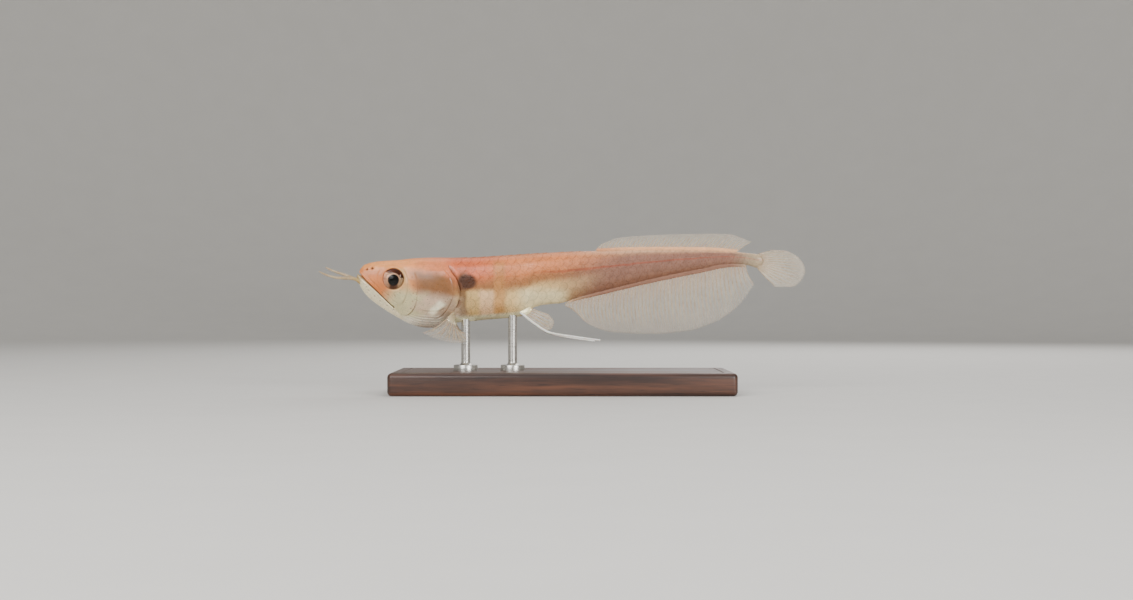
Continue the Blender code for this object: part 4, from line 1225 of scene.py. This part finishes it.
def woodMaterial():
    material, tree, shader = newMaterial("dark_wood", Coat_Weight=0.25, Coat_Roughness=0.25)
    grain = grainNoise(tree, (14, 260, 260), 6, 0.62)
    pore = grainNoise(tree, (120, 2600, 2600), 2, 0.5)
    across = calc("ABSOLUTE", addNode(tree, "SeparateXYZ", {0: objectPlace(tree)}, "X"))
    endGrain = [(stand["length"] / 2 - inset) * mm for inset in stand["endGrain"]]
    setInputs(shader, {
        "Base Color": layered(
            tint(44, 30, 24),
            (ramp(grain, 0.35, 0.68), tint(92, 62, 44)),
            (ramp(across, *endGrain, 0, 0.8), tint(52, 36, 28)),
            (ramp(pore, 0.56, 0.7, 0, 0.65), tint(26, 18, 15))),
        "Roughness": ramp(grain, 0.3, 0.7, 0.36, 0.5),
        "Normal": addNode(tree, "Bump", {"Height": pore, "Strength": 0.3, "Distance": 0.06 * mm})})
    return material


def steelMaterial():
    material, tree, shader = newMaterial("brushed_steel", Metallic=1.0)
    lines = grainNoise(tree, (90, 90, 6000), 3, 0.6)
    setInputs(shader, {"Base Color": blend(lines, tint(178, 176, 172), tint(208, 206, 202)),
                       "Roughness": ramp(lines, 0.3, 0.7, 0.24, 0.4)})
    return material


def makeBase():
    length, width, thick = (stand[key] for key in ("length", "width", "thick"))
    deselectAll()
    bpy.ops.mesh.primitive_cube_add(size=1, location=(0, 0, thick / 2 * mm))
    base = bpy.context.object
    base.name = base.data.name = "stand_base_wood"
    base.scale = (length * mm, width * mm, thick * mm)
    bpy.ops.object.transform_apply(location=True, rotation=False, scale=True)
    for vertex in base.data.vertices:
        vertex.co.z = max(vertex.co.z, 0)  # rounding can leave the underside a hair below the floor
    bpy.ops.object.mode_set(mode="EDIT")
    bpy.ops.mesh.select_all(action="SELECT")
    bpy.ops.mesh.bevel(offset=stand["corner"] * mm, segments=6, affect="EDGES")
    bpy.ops.mesh.select_all(action="DESELECT")
    bpy.ops.object.mode_set(mode="OBJECT")
    for face in base.data.polygons:
        face.select = face.center.z > (thick - 0.01) * mm
    bpy.ops.object.mode_set(mode="EDIT")
    bpy.ops.mesh.select_mode(type="FACE")
    third, depth = stand["lineWidth"] / 3, stand["lineDepth"]
    for inset, lift in ((stand["lineInset"] - stand["corner"], 0), (third, -depth), (third, 0),
                        (third, depth)):
        bpy.ops.mesh.inset(thickness=inset * mm, depth=lift * mm)
    bpy.ops.object.mode_set(mode="OBJECT")
    finishPiece(base, "stand_base", woodMaterial(), ("stand_base",), angle=40)


def makeRod(name, s, steel):
    foot, fillet = stand["thick"], stand["footFillet"]
    radius, wide, (outer, inner) = stand["rodRadius"], stand["footRadius"], stand["footRound"]
    shoulder = foot + stand["footThick"]
    top = body["snoutLevel"] + readLine(body["belly"], s) + stand["rodInBody"]
    curve = (radius + fillet, shoulder + fillet) - quarterArc(fillet, fillet, 7)[::-1]
    profile = ((0, top), (radius, top), *curve, (wide - outer, shoulder),
               (wide - inner, shoulder - inner), (wide, shoulder - outer), (wide, foot), (0, foot))
    rod = turnedForm(name + "_steel", profile, 48, s - body["middle"])
    finishPiece(rod, "stand_rod", steel, (name,), angle=40)


makeBase()
rodSteel = steelMaterial()
for rodName, rodPlace in stand["rods"].items():
    makeRod(rodName, rodPlace, rodSteel)
print("stand made")


# Floor and backdrop in one sweep, soft studio lights as (name, place, size, power), and the camera
studio = {
    "cameraFrom": (1.02, -500.0, 24.73), "frameWidth": 302.1, "sensor": 36.0,
    "floor": 1000.0, "wall": 420.0, "bend": 300.0, "aim": (0, 0, 25), "world": 0.42,
    "lights": (("key", (-260, -470, 270), 0.34, 2.4), ("fill", (330, -500, 170), 0.26, 2.1),
        ("top", (20, 40, 520), 0.42, 0.8), ("rim", (160, 420, 320), 0.32, 1.2)),
}


def makeSweep():
    edge, bend = studio["floor"], studio["bend"]
    flat = [(reach, 0) for reach in np.linspace(0, edge - bend, 6)]
    curve = quarterArc(bend, -bend, 16)[1:] + (edge - bend, bend)
    sweep = turnedForm("studio_sweep", (*flat, *curve, (edge, studio["wall"])), 96)
    bpy.ops.object.shade_smooth()
    material, tree, shader = newMaterial("pale_paper", Roughness=0.85)
    speck = noise(objectPlace(tree), 60)
    setInputs(shader, {"Base Color": blend(speck, tint(214, 212, 208), tint(220, 218, 214))})
    sweep.data.materials.append(material)


def makeStudio():
    camera = addObject("camera", bpy.data.cameras.new("camera"), studio["cameraFrom"])
    camera.rotation_euler = (math.pi / 2, 0, 0)
    camera.data.sensor_width = studio["sensor"]
    camera.data.lens = studio["sensor"] * -studio["cameraFrom"][1] / studio["frameWidth"]
    camera.data.clip_start = 5 * mm
    bpy.context.scene.camera = camera
    for name, place, size, power in studio["lights"]:
        light = bpy.data.lights.new(name, "AREA")
        light.size = size
        light.energy = power
        x, y, z = np.array(studio["aim"]) - place
        lamp = addObject(name, light, place)
        lamp.rotation_euler = (math.atan2(math.hypot(x, y), -z), 0, math.atan2(y, x) - math.pi / 2)
    surroundings = bpy.data.worlds.new("studio")
    bpy.context.scene.world = surroundings
    surroundings.use_nodes = True
    grey = {"Color": (0.92, 0.92, 0.92, 1), "Strength": studio["world"]}
    setInputs(surroundings.node_tree.nodes["Background"], grey)


makeSweep()
makeStudio()
print("studio made")
